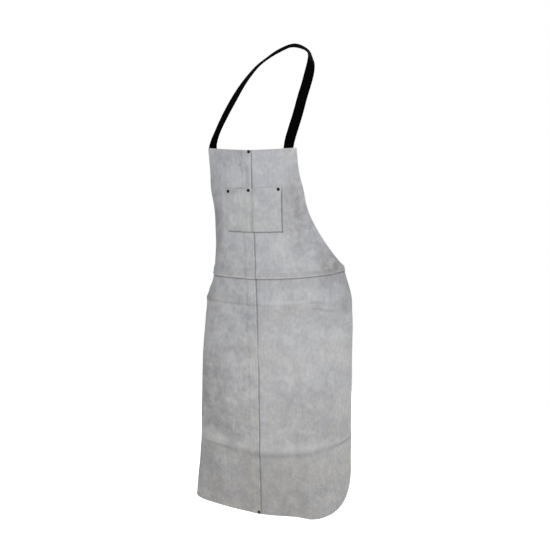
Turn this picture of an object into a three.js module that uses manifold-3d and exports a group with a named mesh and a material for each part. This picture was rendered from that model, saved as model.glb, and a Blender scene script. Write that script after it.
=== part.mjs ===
// Leather bib apron, in millimetres, +Z up, worn front facing -Y.
// The origin is on the underside of the neck strap, at the nape.
import * as THREE from "three";
import { mergeVertices } from "three/addons/utils/BufferGeometryUtils.js";
import Module from "manifold-3d";

// Cut sizes of the leather
const LENGTH = 1067;
const HALF_WIDTH = 305;
const BIB_TOP_HALF = 141;
const ARMHOLE_START = 54;
const ARMHOLE_EASE = 6;
const ARMHOLE_EASE_DROP = 115;
const ARMHOLE_EASE_REACH = 42;
const WAIST_CORNER_HALF = 284;
const WAIST_CORNER_DROP = 350;
const HIP_RUN = 100;
const HEM_CORNER_RADIUS = 100;
const WAIST_SEAM_DROP = 364.5;
const LEATHER = 1.6;
const GAP = 0.3;
const LAYER = LEATHER + GAP;

// Lapped seams: the left half laps over the right, the bib over the skirt
const CENTRE_LAP = 24;
const WAIST_LAP = 20;
const LAP_RAMP = 10;
const SEAM_EDGE = 1;

// Where the middle of the bib's top edge hangs, from the nape
const BIB_TOP_BACK = -266;
const BIB_TOP_HEIGHT = -317;

// Patch pocket, measured along the leather from the centre seam and the bib's top edge
const POCKET_LEFT = -83;
const POCKET_RIGHT = 89.5;
const POCKET_DROP = 108;
const POCKET_RISE = 5;
const POCKET_FOOT = 230;
const POCKET_LEAN = 5;
const POCKET_DIVIDER = -9;
const POCKET_BULGE = 0.8;
const POCKET_SEWN_MARGIN = 13;
const POCKET_BULGE_RUN = 22;

// Neck strap
const STRAP_WIDTH = 28.5;
const STRAP_THICKNESS = 2.2;
const STRAP_SEWN_LENGTH = 34;
const STRAP_SEWN_LEFT = -126;
const STRAP_SEWN_RIGHT = 113;
const STRAP_SEWN_TOP = 12;
const STRAP_STEPS_PER_ROW = 4;
const STRAP_COLUMNS = 3;
const STRAP_TENSION = 0.5;

// Rivets: a domed cap, a shank through the leather and a flat cap behind
const RIVET_CAP_RADIUS = 4.6;
const RIVET_CAP_HEIGHT = 2;
const RIVET_SHANK_RADIUS = 1.75;
const RIVET_BACK_RADIUS = 3.8;
const RIVET_BACK_HEIGHT = 1;
const RIVET_SIDES = 12;
const RIVET_RIM_SHARE = 0.25;

// Spacing of the faceted surface
const COLUMN_STEP = 19;
const ROW_STEP = 30;
const CORNER_ROWS = 6;
const DOME_ROWS = 4;
const NORMAL_REACH = 0.5;
const LEAST_TURN = 1e-9;
const WELD_REACH = 1e-4;

// How far the centre seam lies behind the bib's top edge, by its drop below that edge
const SEAM_LINE = [
  { drop: 0, back: 0 },
  { drop: 150, back: 9 },
  { drop: 260, back: 20 },
  { drop: 367, back: 29 },
  { drop: 440, back: 34 },
  { drop: 620, back: 42 },
  { drop: 800, back: 50 },
  { drop: 890, back: 54 },
  { drop: 1067, back: 60 },
];

// Level sections of the worn leather, each a front arc, a tighter bend and a straight rest.
// lift: rise of the cut edge over the seam; front and bend: lengths along the leather;
// turn and hook: how far the front and the bend turn, in degrees.
const LEFT_SECTIONS = [
  { drop: 0, lift: 22, front: 150, turn: 4, bend: 155, hook: 60 },
  { drop: 150, lift: 8, front: 105, turn: 14, bend: 140, hook: 80 },
  { drop: 260, lift: 4, front: 100, turn: 16, bend: 150, hook: 80 },
  { drop: 367, lift: 0, front: 116, turn: 18, bend: 160, hook: 76 },
  { drop: 440, lift: 0, front: 150, turn: 16, bend: 120, hook: 80 },
  { drop: 620, lift: 4, front: 180, turn: 14, bend: 90, hook: 85 },
  { drop: 800, lift: 8, front: 197, turn: 13, bend: 60, hook: 90 },
  { drop: 890, lift: 12, front: 205, turn: 13, bend: 50, hook: 90 },
  { drop: 1067, lift: 12, front: 232, turn: 12, bend: 32, hook: 95 },
];
const RIGHT_SECTIONS = [
  { drop: 0, lift: 14, front: 150, turn: 5, bend: 155, hook: 50 },
  { drop: 150, lift: 16, front: 150, turn: 22, bend: 155, hook: 54 },
  { drop: 260, lift: 16, front: 150, turn: 34, bend: 155, hook: 60 },
  { drop: 367, lift: 20, front: 150, turn: 38, bend: 155, hook: 52 },
  { drop: 440, lift: 17, front: 150, turn: 34, bend: 155, hook: 46 },
  { drop: 620, lift: 16, front: 150, turn: 32, bend: 155, hook: 52 },
  { drop: 800, lift: 24, front: 150, turn: 31, bend: 155, hook: 57 },
  { drop: 890, lift: 34, front: 150, turn: 31, bend: 155, hook: 58 },
  { drop: 1067, lift: 14, front: 150, turn: 31, bend: 155, hook: 60 },
];
const LIFT_POWER = 1.5;

// Sag of the hem in a bell below the front flute
const HEM_SAG = 12;
const HEM_SAG_MIDDLE = 172;
const HEM_SAG_REACH = 48;
const HEM_SAG_START = 820;

// Ridges pressed out of the leather. A crease runs along the leather's width at a drop,
// a flute runs down it at a distance from the seam; start and end bound the run,
// and bow is how far the middle of the run lies beyond its ends.
const CREASES = [
  { name: "upper", at: 435, slope: 0, bow: 0, start: -290, end: 60, fade: 55, spread: 26, height: 3 },
  { name: "hip", at: 449, slope: 0.23, bow: 0, start: 150, end: 250, fade: 30, spread: 26, height: 3 },
  { name: "lower", at: 868, slope: 0, bow: 14, start: -240, end: 330, fade: 90, spread: 60, height: 6 },
];
const FLUTES = [
  { name: "front", at: 146, slope: 0, bow: 0, start: 690, end: 1200, fade: 330, spread: 48, height: 18 },
];

// Right half of the neck strap, from the bib to the nape: height over the bib's top edge,
// sideways shift of both legs, distance from the middle, distance behind the bib's top edge,
// and the way its outer face looks.
const STRAP_ROWS = [
  { above: 8, shift: -7, half: 121, back: 8.8, faceX: 0.15, faceY: -1, faceZ: 0.1 },
  { above: 28, shift: -4.5, half: 121, back: 12.5, faceX: 0.31, faceY: -0.95, faceZ: 0.25 },
  { above: 56, shift: -0.5, half: 120, back: 25, faceX: 0.36, faceY: -0.88, faceZ: 0.4 },
  { above: 100, shift: 1.5, half: 117, back: 57, faceX: 0.36, faceY: -0.75, faceZ: 0.6 },
  { above: 150, shift: 1.5, half: 111, back: 99, faceX: 0.36, faceY: -0.7, faceZ: 0.65 },
  { above: 200, shift: 2.5, half: 104, back: 144, faceX: 0.36, faceY: -0.6, faceZ: 0.75 },
  { above: 250, shift: 3.5, half: 90, back: 195, faceX: 0.42, faceY: -0.3, faceZ: 0.85 },
  { above: 280, shift: 3.5, half: 71, back: 231, faceX: 0.4, faceY: 0.05, faceZ: 0.9 },
  { above: 305, shift: 2.5, half: 40, back: 256, faceX: 0.25, faceY: 0.3, faceZ: 0.9 },
];
const NAPE_FACE = new THREE.Vector3(0, -0.48, 0.88).normalize();

// How far each leg is twisted out of that face at each row, in degrees
const LEFT_TWISTS = [0, 0, 0, 6, 8, 2, 8, 26, 50];
const RIGHT_TWISTS = [0, 0, 0, 0, 0, 4, 25, 25, -25];

// Rivets: s along the leather from the centre seam, drop below the top edge,
// and how many leathers each one holds together
const RIVETS = [
  { name: "rivet_bib_top", s: -4.8, drop: 5.2, leathers: 2, pocket: false },
  { name: "rivet_pocket_left", s: -77.7, drop: 116.9, leathers: 2, pocket: true },
  { name: "rivet_pocket_middle", s: -8.3, drop: 112.9, leathers: 3, pocket: true },
  { name: "rivet_pocket_right", s: 81.3, drop: 111.3, leathers: 2, pocket: true },
  { name: "rivet_hem", s: -4.8, drop: 1061, leathers: 2, pocket: false },
];

const LEATHER_LOOK = { color: 0xa8a9ac, roughness: 0.92, metalness: 0 };
const POCKET_LOOK = { color: 0xacacad, roughness: 0.92, metalness: 0 };
const WEBBING_LOOK = { color: 0x0b0b0c, roughness: 0.85, metalness: 0 };
const RIVET_LOOK = { color: 0x141414, roughness: 0.45, metalness: 0.6 };

const radians = THREE.MathUtils.degToRad;
const smoothstep = THREE.MathUtils.smoothstep;
const bell = (value, centre, reach) => Math.exp(-(((value - centre) / reach) ** 2));

// A column of a table at any drop, as a smooth curve through its rows
function columnAt(table, key, drop) {
  const last = table.length - 1;
  let i = 0;
  while (i < last - 1 && drop >= table[i + 1].drop) i += 1;
  const slopeAt = (k) => {
    const before = table[Math.max(k - 1, 0)];
    const after = table[Math.min(k + 1, last)];
    return (after[key] - before[key]) / (after.drop - before.drop);
  };
  const a = table[i];
  const b = table[i + 1];
  const run = b.drop - a.drop;
  const t = (drop - a.drop) / run;
  const ease = t * t * (3 - 2 * t);
  const leave = t * (1 - t) * (1 - t) * run * slopeAt(i);
  const arrive = t * t * (1 - t) * run * slopeAt(i + 1);
  return a[key] + (b[key] - a[key]) * ease + leave - arrive;
}

// Half the leather's cut width: straight bib, armhole arc, hip and rounded hem corner
function halfWidth(drop) {
  const run = WAIST_CORNER_DROP - ARMHOLE_START;
  const reach = WAIST_CORNER_HALF - BIB_TOP_HALF;
  const radius = (run * run + reach * reach) / (2 * reach);
  if (drop <= WAIST_CORNER_DROP) {
    const along = Math.max(drop - ARMHOLE_START, 0);
    const ease = ARMHOLE_EASE * bell(drop, ARMHOLE_EASE_DROP, ARMHOLE_EASE_REACH);
    return BIB_TOP_HALF + radius - Math.sqrt(radius * radius - along * along) + ease;
  }
  const hip = Math.min((drop - WAIST_CORNER_DROP) / HIP_RUN, 1);
  const side = WAIST_CORNER_HALF + (HALF_WIDTH - WAIST_CORNER_HALF) * hip;
  const into = Math.min(Math.max(drop - (LENGTH - HEM_CORNER_RADIUS), 0), HEM_CORNER_RADIUS);
  return side - HEM_CORNER_RADIUS + Math.sqrt(HEM_CORNER_RADIUS ** 2 - into * into);
}

// Step along an arc of the given length that starts at an angle and turns steadily
function arcStep(length, angle, turnPerLength) {
  const k = Math.abs(turnPerLength) < LEAST_TURN ? LEAST_TURN : turnPerLength;
  const end = angle + k * length;
  const across = (Math.sin(end) - Math.sin(angle)) / k;
  const back = (Math.cos(angle) - Math.cos(end)) / k;
  return { across, back, end };
}

// Height of one fold, given where a place lies along its run and across it
function foldHeight(fold, along, across) {
  const bowed = fold.bow * bell(along, (fold.start + fold.end) / 2, (fold.end - fold.start) / 4);
  const off = Math.abs(across - fold.at - fold.slope * (along - fold.start) - bowed);
  const near = 1 - Math.min(off / fold.spread, 1);
  const inRun = smoothstep(along, fold.start, fold.start + fold.fade);
  const outRun = 1 - smoothstep(along, fold.end - fold.fade, fold.end);
  return fold.height * near * near * inRun * outRun;
}

// Height of all folds together at a place on the leather
function foldsAt(s, drop) {
  const creases = CREASES.reduce((sum, fold) => sum + foldHeight(fold, s, drop), 0);
  return FLUTES.reduce((sum, fold) => sum + foldHeight(fold, drop, s), creases);
}

// The worn leather's base surface at s along the leather and drop below the top edge
function surfacePoint(s, drop) {
  const side = Math.sign(s) || 1;
  const table = side < 0 ? LEFT_SECTIONS : RIGHT_SECTIONS;
  const a = Math.abs(s);
  const front = columnAt(table, "front", drop);
  const bend = columnAt(table, "bend", drop);
  const turn = radians(columnAt(table, "turn", drop));
  const hook = radians(columnAt(table, "hook", drop));
  const lift = columnAt(table, "lift", drop) * (a / HALF_WIDTH) ** LIFT_POWER;
  const first = arcStep(Math.min(a, front), 0, turn / front);
  const second = arcStep(THREE.MathUtils.clamp(a - front, 0, bend), first.end, hook / bend);
  const rest = Math.max(a - front - bend, 0);
  const fold = foldsAt(s, drop);
  const sagShare = bell(s, HEM_SAG_MIDDLE, HEM_SAG_REACH) * smoothstep(drop, HEM_SAG_START, LENGTH);
  const out = first.across + second.across + rest * Math.cos(second.end) + fold * Math.sin(second.end);
  const back = first.back + second.back + rest * Math.sin(second.end) - fold * Math.cos(second.end);
  return new THREE.Vector3(
    side * out,
    BIB_TOP_BACK + columnAt(SEAM_LINE, "back", drop) + back,
    BIB_TOP_HEIGHT - drop + lift - HEM_SAG * sagShare,
  );
}

// The way the leather's outer face looks
function surfaceNormal(s, drop) {
  const along = surfacePoint(s + NORMAL_REACH, drop).sub(surfacePoint(s - NORMAL_REACH, drop));
  const down = surfacePoint(s, drop + NORMAL_REACH).sub(surfacePoint(s, drop - NORMAL_REACH));
  return down.cross(along).normalize();
}

// A place raised off the base surface
function raised(s, drop, height) {
  return surfacePoint(s, drop).addScaledVector(surfaceNormal(s, drop), height);
}

// How far each panel is lifted over the layers that it laps, in layers
const overCentre = (s) => smoothstep(s, -CENTRE_LAP - LAP_RAMP, -CENTRE_LAP);
const besideCentre = (s) => 1 - smoothstep(s, SEAM_EDGE, SEAM_EDGE + LAP_RAMP);
const overWaist = (drop) =>
  smoothstep(drop, WAIST_SEAM_DROP - WAIST_LAP - LAP_RAMP, WAIST_SEAM_DROP - WAIST_LAP);
const LAYERS = {
  skirt_panel_right: () => 0,
  skirt_panel_left: (s) => overCentre(s),
  bib_panel_right: (s, drop) => overWaist(drop) * (1 + besideCentre(s)),
  bib_panel_left: (s, drop) => overWaist(drop) * (1 + overCentre(s)) + overCentre(s),
};

// Closed wall between two grids of the same size, given as functions of row and column
function closedWall(rows, columns, outer, inner) {
  const places = [];
  const triangles = [];
  const faceSize = rows * columns;
  for (const grid of [outer, inner]) {
    for (let i = 0; i < rows; i += 1) {
      for (let j = 0; j < columns; j += 1) places.push(...grid(i, j).toArray());
    }
  }
  const quad = (a, b, c, d) => triangles.push(a, b, c, a, c, d);
  const at = (i, j) => i * columns + j;
  for (let i = 0; i + 1 < rows; i += 1) {
    for (let j = 0; j + 1 < columns; j += 1) {
      quad(at(i, j), at(i + 1, j), at(i + 1, j + 1), at(i, j + 1));
      quad(
        faceSize + at(i, j),
        faceSize + at(i, j + 1),
        faceSize + at(i + 1, j + 1),
        faceSize + at(i + 1, j),
      );
    }
  }
  const rim = [];
  for (let j = 0; j + 1 < columns; j += 1) rim.push(at(0, j));
  for (let i = 0; i + 1 < rows; i += 1) rim.push(at(i, columns - 1));
  for (let j = columns - 1; j > 0; j -= 1) rim.push(at(rows - 1, j));
  for (let i = rows - 1; i > 0; i -= 1) rim.push(at(i, 0));
  rim.forEach((a, n) => {
    const b = rim[(n + 1) % rim.length];
    quad(a, b, faceSize + b, faceSize + a);
  });
  const geometry = new THREE.BufferGeometry();
  geometry.setAttribute("position", new THREE.Float32BufferAttribute(places, 3));
  geometry.setIndex(triangles);
  return geometry;
}

// Even stations from start to end, no further apart than step, both ends included
function stations(start, end, step) {
  const count = Math.max(Math.ceil(Math.abs(end - start) / step), 1);
  return Array.from({ length: count + 1 }, (_, i) => start + ((end - start) * i) / count);
}

// Stations through a list of fixed places
function stationsThrough(places, step) {
  const all = [places[0]];
  for (let i = 0; i + 1 < places.length; i += 1) {
    all.push(...stations(places[i], places[i + 1], step).slice(1));
  }
  return all;
}

const lapStart = WAIST_SEAM_DROP - WAIST_LAP;
const lapRows = [lapStart, WAIST_CORNER_DROP, WAIST_SEAM_DROP];
const bibRows = stationsThrough([0, ARMHOLE_START, lapStart - LAP_RAMP, ...lapRows], ROW_STEP);
const creaseRows = CREASES.filter((fold) => fold.slope === 0).flatMap((fold) => [
  fold.at - fold.spread,
  ...new Set([fold.at, fold.at + fold.bow]),
  fold.at + fold.bow + fold.spread,
]);
const cornerRows = stations(0, Math.PI / 2, Math.PI / 2 / CORNER_ROWS).map(
  (angle) => LENGTH - HEM_CORNER_RADIUS * (1 - Math.sin(angle)),
);
const skirtRows = stationsThrough([...lapRows, ...creaseRows, ...cornerRows], ROW_STEP);

// One half of the bib or skirt: fixed columns beside the seam, then even ones out to the cut edge
function panelGeometry(name, drops, isLeft) {
  const inner = isLeft
    ? [0, -CENTRE_LAP, -CENTRE_LAP - LAP_RAMP / 2, -CENTRE_LAP - LAP_RAMP]
    : [-CENTRE_LAP, 0, SEAM_EDGE + LAP_RAMP / 2, SEAM_EDGE + LAP_RAMP];
  const from = inner[inner.length - 1];
  const spread = Math.ceil((HALF_WIDTH - Math.abs(from)) / COLUMN_STEP);
  const column = (j, drop) => {
    if (j < inner.length) return inner[j];
    const edge = (isLeft ? -1 : 1) * halfWidth(drop);
    return from + ((edge - from) * (j - inner.length + 1)) / spread;
  };
  const place = (height) => (i, j) => {
    const s = column(j, drops[i]);
    return raised(s, drops[i], LAYERS[name](s, drops[i]) * LAYER + height);
  };
  const columns = inner.length + spread;
  const faces = [place(LEATHER), place(0)];
  return isLeft
    ? closedWall(drops.length, columns, faces[1], faces[0])
    : closedWall(drops.length, columns, faces[0], faces[1]);
}

// Drop of the pocket's upper edge, which rises a little to the right
function pocketMouth(across) {
  const middle = (POCKET_LEFT + POCKET_RIGHT) / 2;
  return POCKET_DROP - (POCKET_RISE * (across - middle)) / (POCKET_RIGHT - POCKET_LEFT);
}

// How far the pocket stands off the bib, over the lapped seam and with its two bellied halves.
// The place is given across the mouth and as a share of the way down to the level foot.
function pocketHeight(across, share) {
  const s = across - POCKET_LEAN * share;
  const overSeam = smoothstep(s, -CENTRE_LAP - 3 * LAP_RAMP, -CENTRE_LAP - LAP_RAMP);
  const pastSeam = 1 - smoothstep(s, SEAM_EDGE, SEAM_EDGE + 2 * LAP_RAMP);
  const toSide = Math.min(across - POCKET_LEFT, POCKET_RIGHT - across);
  const toStitch = Math.min(toSide, Math.abs(across - POCKET_DIVIDER));
  const belly = smoothstep(toStitch, POCKET_SEWN_MARGIN, POCKET_SEWN_MARGIN + POCKET_BULGE_RUN);
  const height = POCKET_FOOT - POCKET_DROP;
  const open = smoothstep((1 - share) * height, POCKET_SEWN_MARGIN, height);
  return LAYER * (1 + overSeam * pastSeam) + POCKET_BULGE * belly * open;
}

function pocketGeometry() {
  const across = stationsThrough(
    [
      POCKET_LEFT,
      POCKET_LEFT + POCKET_SEWN_MARGIN,
      -CENTRE_LAP - 3 * LAP_RAMP,
      -CENTRE_LAP - LAP_RAMP,
      -CENTRE_LAP,
      0,
      POCKET_LEAN,
      SEAM_EDGE + 2 * LAP_RAMP,
      POCKET_RIGHT - POCKET_SEWN_MARGIN,
      POCKET_RIGHT,
    ],
    COLUMN_STEP,
  );
  const shares = stations(0, 1, ROW_STEP / (POCKET_FOOT - POCKET_DROP));
  const place = (height) => (i, j) => {
    const mouth = pocketMouth(across[j]);
    const s = across[j] - POCKET_LEAN * shares[i];
    const drop = mouth + shares[i] * (POCKET_FOOT - mouth);
    return raised(s, drop, pocketHeight(across[j], shares[i]) + height);
  };
  return closedWall(shares.length, across.length, place(LEATHER), place(0));
}

// Centre line of the strap and the way its outer face looks, from the left end to the right end
function strapCurves() {
  const behind = -(2 * GAP + STRAP_THICKNESS / 2);
  const leg = (side, sewn, twists) => {
    const places = STRAP_ROWS.map((row) => {
      const across = row.shift + side * row.half;
      return new THREE.Vector3(across, BIB_TOP_BACK + row.back, BIB_TOP_HEIGHT + row.above);
    });
    const free = STRAP_ROWS.map((row, i) => {
      const after = places[Math.min(i + 1, places.length - 1)];
      const run = after.clone().sub(places[Math.max(i - 1, 0)]).normalize();
      const face = new THREE.Vector3(side * row.faceX, row.faceY, row.faceZ).normalize();
      return [places[i], face.applyAxisAngle(run, radians(twists[i]))];
    });
    const drops = stations(STRAP_SEWN_LENGTH, STRAP_SEWN_TOP, STRAP_SEWN_TOP);
    const held = drops.map((drop) => [raised(sewn, drop, behind), surfaceNormal(sewn, drop)]);
    return [...held, ...free];
  };
  const nape = NAPE_FACE.clone().multiplyScalar(STRAP_THICKNESS / 2);
  const leftUp = leg(-1, STRAP_SEWN_LEFT, LEFT_TWISTS);
  const rightDown = leg(1, STRAP_SEWN_RIGHT, RIGHT_TWISTS).reverse();
  const rows = [...leftUp, [nape, NAPE_FACE], ...rightDown];
  const line = new THREE.CatmullRomCurve3(rows.map((row) => row[0]), false, "catmullrom", STRAP_TENSION);
  const face = new THREE.CatmullRomCurve3(rows.map((row) => row[1]), false, "catmullrom", STRAP_TENSION);
  return { line, face, steps: (rows.length - 1) * STRAP_STEPS_PER_ROW };
}

function strapGeometry() {
  const { line, face, steps } = strapCurves();
  const frames = stations(0, 1, 1 / steps).map((t) => {
    const place = line.getPoint(t);
    const along = line.getTangent(t);
    const out = face.getPoint(t);
    out.addScaledVector(along, -out.dot(along)).normalize();
    return { place, out, side: along.clone().cross(out) };
  });
  const place = (height) => (i, j) => {
    const { place: middle, out, side } = frames[i];
    return middle
      .clone()
      .addScaledVector(out, height)
      .addScaledVector(side, STRAP_WIDTH * (1 / 2 - j / (STRAP_COLUMNS - 1)));
  };
  const half = STRAP_THICKNESS / 2;
  return closedWall(frames.length, STRAP_COLUMNS, place(half), place(-half));
}

// A rivet about its own Y axis, its origin on the outer face of the upper leather
function rivetGeometry(leathers) {
  const grip = leathers * LAYER - GAP;
  const dome = stations(0, Math.PI / 2, Math.PI / 2 / DOME_ROWS).map(
    (angle) =>
      new THREE.Vector2(
        RIVET_CAP_RADIUS * Math.cos(angle),
        GAP + RIVET_CAP_HEIGHT * (RIVET_RIM_SHARE + (1 - RIVET_RIM_SHARE) * Math.sin(angle)),
      ),
  );
  dome[dome.length - 1].x = 0;
  const profile = [
    new THREE.Vector2(0, -grip - GAP - RIVET_BACK_HEIGHT),
    new THREE.Vector2(RIVET_BACK_RADIUS, -grip - GAP - RIVET_BACK_HEIGHT),
    new THREE.Vector2(RIVET_BACK_RADIUS, -grip - GAP),
    new THREE.Vector2(RIVET_SHANK_RADIUS, -grip - GAP),
    new THREE.Vector2(RIVET_SHANK_RADIUS, GAP),
    new THREE.Vector2(RIVET_CAP_RADIUS, GAP),
    ...dome,
  ];
  return new THREE.LatheGeometry(profile, RIVET_SIDES);
}

// Height of the upper leather's outer face over the base surface at a rivet
function rivetSeat(rivet) {
  if (!rivet.pocket) return (rivet.leathers - 1) * LAYER + LEATHER;
  const mouth = pocketMouth(rivet.s);
  const share = (rivet.drop - mouth) / (POCKET_FOOT - mouth);
  return pocketHeight(rivet.s + POCKET_LEAN * share, share) + LEATHER;
}

function rivetMatrix(rivet) {
  const up = new THREE.Vector3(0, 1, 0);
  const turn = new THREE.Quaternion().setFromUnitVectors(up, surfaceNormal(rivet.s, rivet.drop));
  const size = new THREE.Vector3(1, 1, 1);
  return new THREE.Matrix4().compose(raised(rivet.s, rivet.drop, rivetSeat(rivet)), turn, size);
}

const wasm = await Module();
wasm.setup();

function toSolid(geometry) {
  const bare = geometry.index ? geometry.toNonIndexed() : geometry.clone();
  bare.deleteAttribute("normal");
  bare.deleteAttribute("uv");
  const merged = mergeVertices(bare, WELD_REACH);
  const mesh = new wasm.Mesh({
    numProp: 3,
    vertProperties: merged.attributes.position.array,
    triVerts: new Uint32Array(merged.index.array),
  });
  return new wasm.Manifold(mesh);
}

function toGeometry(solid) {
  const mesh = solid.getMesh();
  const geometry = new THREE.BufferGeometry();
  geometry.setAttribute("position", new THREE.BufferAttribute(mesh.vertProperties, 3));
  geometry.setIndex(new THREE.BufferAttribute(mesh.triVerts, 1));
  geometry.computeVertexNormals();
  return geometry;
}

// The clear holes through the leather for every rivet's shank
const punches = RIVETS.map((rivet) => {
  const radius = RIVET_SHANK_RADIUS + GAP;
  const depth = (rivet.leathers + 2) * LAYER;
  const punch = new THREE.CylinderGeometry(radius, radius, 2 * depth, RIVET_SIDES);
  return toSolid(punch.applyMatrix4(rivetMatrix(rivet)));
});

function punched(geometry) {
  return toGeometry(punches.reduce((solid, punch) => solid.subtract(punch), toSolid(geometry)));
}

function piece(name, geometry, look) {
  const mesh = new THREE.Mesh(geometry, new THREE.MeshStandardMaterial(look));
  mesh.name = name;
  return mesh;
}

const apron = new THREE.Group();
apron.name = "apron";

const panels = new THREE.Group();
panels.add(
  piece("bib_panel_left", punched(panelGeometry("bib_panel_left", bibRows, true)), LEATHER_LOOK),
  piece("bib_panel_right", punched(panelGeometry("bib_panel_right", bibRows, false)), LEATHER_LOOK),
  piece("skirt_panel_left", punched(panelGeometry("skirt_panel_left", skirtRows, true)), LEATHER_LOOK),
  piece("skirt_panel_right", punched(panelGeometry("skirt_panel_right", skirtRows, false)), LEATHER_LOOK),
  piece("chest_pocket", punched(pocketGeometry()), POCKET_LOOK),
);
apron.add(panels);
apron.add(piece("neck_strap", strapGeometry(), WEBBING_LOOK));

const rivets = new THREE.Group();
for (const rivet of RIVETS) {
  const mesh = piece(rivet.name, rivetGeometry(rivet.leathers), RIVET_LOOK);
  mesh.applyMatrix4(rivetMatrix(rivet));
  rivets.add(mesh);
}
apron.add(rivets);

export default apron;
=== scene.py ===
"""Grey split-leather bib apron with a webbing neck strap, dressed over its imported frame.

Sizes are in millimetres unless a name says otherwise, and meshes are written in metres. A place on
the leather is given by s, its distance from the centre seam along the leather, negative on the
left, and by its drop below the bib's top edge.
"""

import logging
import math
from dataclasses import dataclass, field
from enum import Enum
from typing import Callable

import bpy
import numpy as np
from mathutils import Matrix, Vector


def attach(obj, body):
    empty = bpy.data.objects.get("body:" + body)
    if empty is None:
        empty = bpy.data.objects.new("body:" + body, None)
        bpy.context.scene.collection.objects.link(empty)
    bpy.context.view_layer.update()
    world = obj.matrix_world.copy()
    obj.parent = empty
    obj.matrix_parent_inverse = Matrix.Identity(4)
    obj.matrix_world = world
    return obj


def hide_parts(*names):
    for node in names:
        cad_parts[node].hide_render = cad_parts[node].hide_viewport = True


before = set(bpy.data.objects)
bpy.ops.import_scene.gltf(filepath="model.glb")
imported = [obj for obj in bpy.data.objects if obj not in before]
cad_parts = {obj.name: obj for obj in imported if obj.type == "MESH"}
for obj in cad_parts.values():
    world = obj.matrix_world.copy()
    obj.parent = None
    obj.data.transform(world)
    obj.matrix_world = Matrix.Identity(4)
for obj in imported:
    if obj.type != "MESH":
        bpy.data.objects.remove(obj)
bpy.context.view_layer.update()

MM = 0.001
BODY = "root"
WHITE = (1.0, 1.0, 1.0)
Array = np.ndarray
Socket = bpy.types.NodeSocket
Pair = tuple[float, float]
Triple = tuple[float, float, float]
Value = Socket | float | tuple[float, ...]
log = logging.getLogger("apron")


class Side(Enum):
    """Which half of the apron, seen from its front."""

    LEFT = -1
    RIGHT = 1


class Tier(Enum):
    """Which row of panels."""

    BIB = "bib"
    SKIRT = "skirt"


class Run(Enum):
    """Which way a fold runs over the leather."""

    LEVEL = "level"
    UPRIGHT = "upright"


def smoothstep(value: Array, low: float, high: float) -> Array:
    """Ease from 0 at low to 1 at high as 3t^2 - 2t^3, level beyond both."""
    t = np.clip((value - low) / (high - low), 0.0, 1.0)
    return t * t * (3.0 - 2.0 * t)


def hump(value: Array, centre: float, reach: float) -> Array:
    """Bell curve of height 1 at centre that falls to 1/e at reach."""
    return np.exp(-(((value - centre) / reach) ** 2))


def cubic(t: Array, start: Array, end: Array, leave: Array, arrive: Array) -> Array:
    """Cubic from start to end as t goes from 0 to 1, with the slopes that it leaves and arrives by."""
    slopes = t * (1.0 - t) ** 2 * leave - t * t * (1.0 - t) * arrive
    return start + (end - start) * t * t * (3.0 - 2.0 * t) + slopes


def arc_step(length: Array, angle: Array, turn: Array) -> tuple[Array, Array, Array]:
    """Step along an arc that starts at an angle and turns steadily.

    Args:
        length: Length along the arc.
        angle: Heading at its start, in radians.
        turn: Turn per length, in radians.

    Returns:
        How far the step goes across and back, and the heading at its end.
    """
    least = 1e-9
    rate = np.where(np.abs(turn) < least, least, turn)
    end = angle + rate * length
    across = (np.sin(end) - np.sin(angle)) / rate
    back = (np.cos(angle) - np.cos(end)) / rate
    return across, back, end


def unit(vectors: Array) -> Array:
    """Vectors scaled to length 1 along the last axis."""
    return vectors / np.linalg.norm(vectors, axis=-1, keepdims=True)


def linear(red: float, green: float, blue: float) -> Triple:
    """A display colour from 0 to 255 as a linear one from 0 to 1, by the usual display curve."""
    shares = (red / 255.0, green / 255.0, blue / 255.0)
    return tuple(((c + 0.055) / 1.055) ** 2.4 if c > 0.04045 else c / 12.92 for c in shares)


def wall_faces(rows: int, columns: int) -> Array:
    """Quads of a closed wall: one grid, a second one turned round, and the rim between them.

    Args:
        rows: Rows of each grid.
        columns: Columns of each grid.

    Returns:
        Vertex numbers, four to a face, with the second grid numbered after the first.
    """
    index = np.arange(rows * columns).reshape(rows, columns)
    corners = [index[:-1, :-1], index[1:, :-1], index[1:, 1:], index[:-1, 1:]]
    face = np.stack(corners, axis=-1).reshape(-1, 4)
    rim = np.concatenate([index[0, :-1], index[:-1, -1], index[-1, :0:-1], index[:0:-1, 0]])
    after = np.roll(rim, -1)
    edge = np.stack([rim, after, after + index.size, rim + index.size], axis=-1)
    return np.concatenate([face, face[:, ::-1] + index.size, edge])


def tube_faces(rings: int, sides: int) -> Array:
    """Quads between rings of the same number of points, each ring closed on itself.

    Args:
        rings: How many rings there are.
        sides: Points of each ring.

    Returns:
        Vertex numbers, four to a face.
    """
    index = np.arange(rings * sides).reshape(rings, sides)
    after = np.roll(index, -1, axis=1)
    corners = [index[:-1], after[:-1], after[1:], index[1:]]
    return np.stack(corners, axis=-1).reshape(-1, 4)


def tip_faces(rings: int, sides: int) -> Array:
    """Triangles from the first and last ring of a tube to two points numbered after its rings.

    Args:
        rings: How many rings there are.
        sides: Points of each ring.

    Returns:
        Vertex numbers, three to a face.
    """
    count = rings * sides
    first = np.arange(sides)
    last = first + count - sides
    lower = np.stack([np.roll(first, -1), first, np.full(sides, count)], axis=-1)
    upper = np.stack([last, np.roll(last, -1), np.full(sides, count + 1)], axis=-1)
    return np.concatenate([lower, upper])


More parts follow.
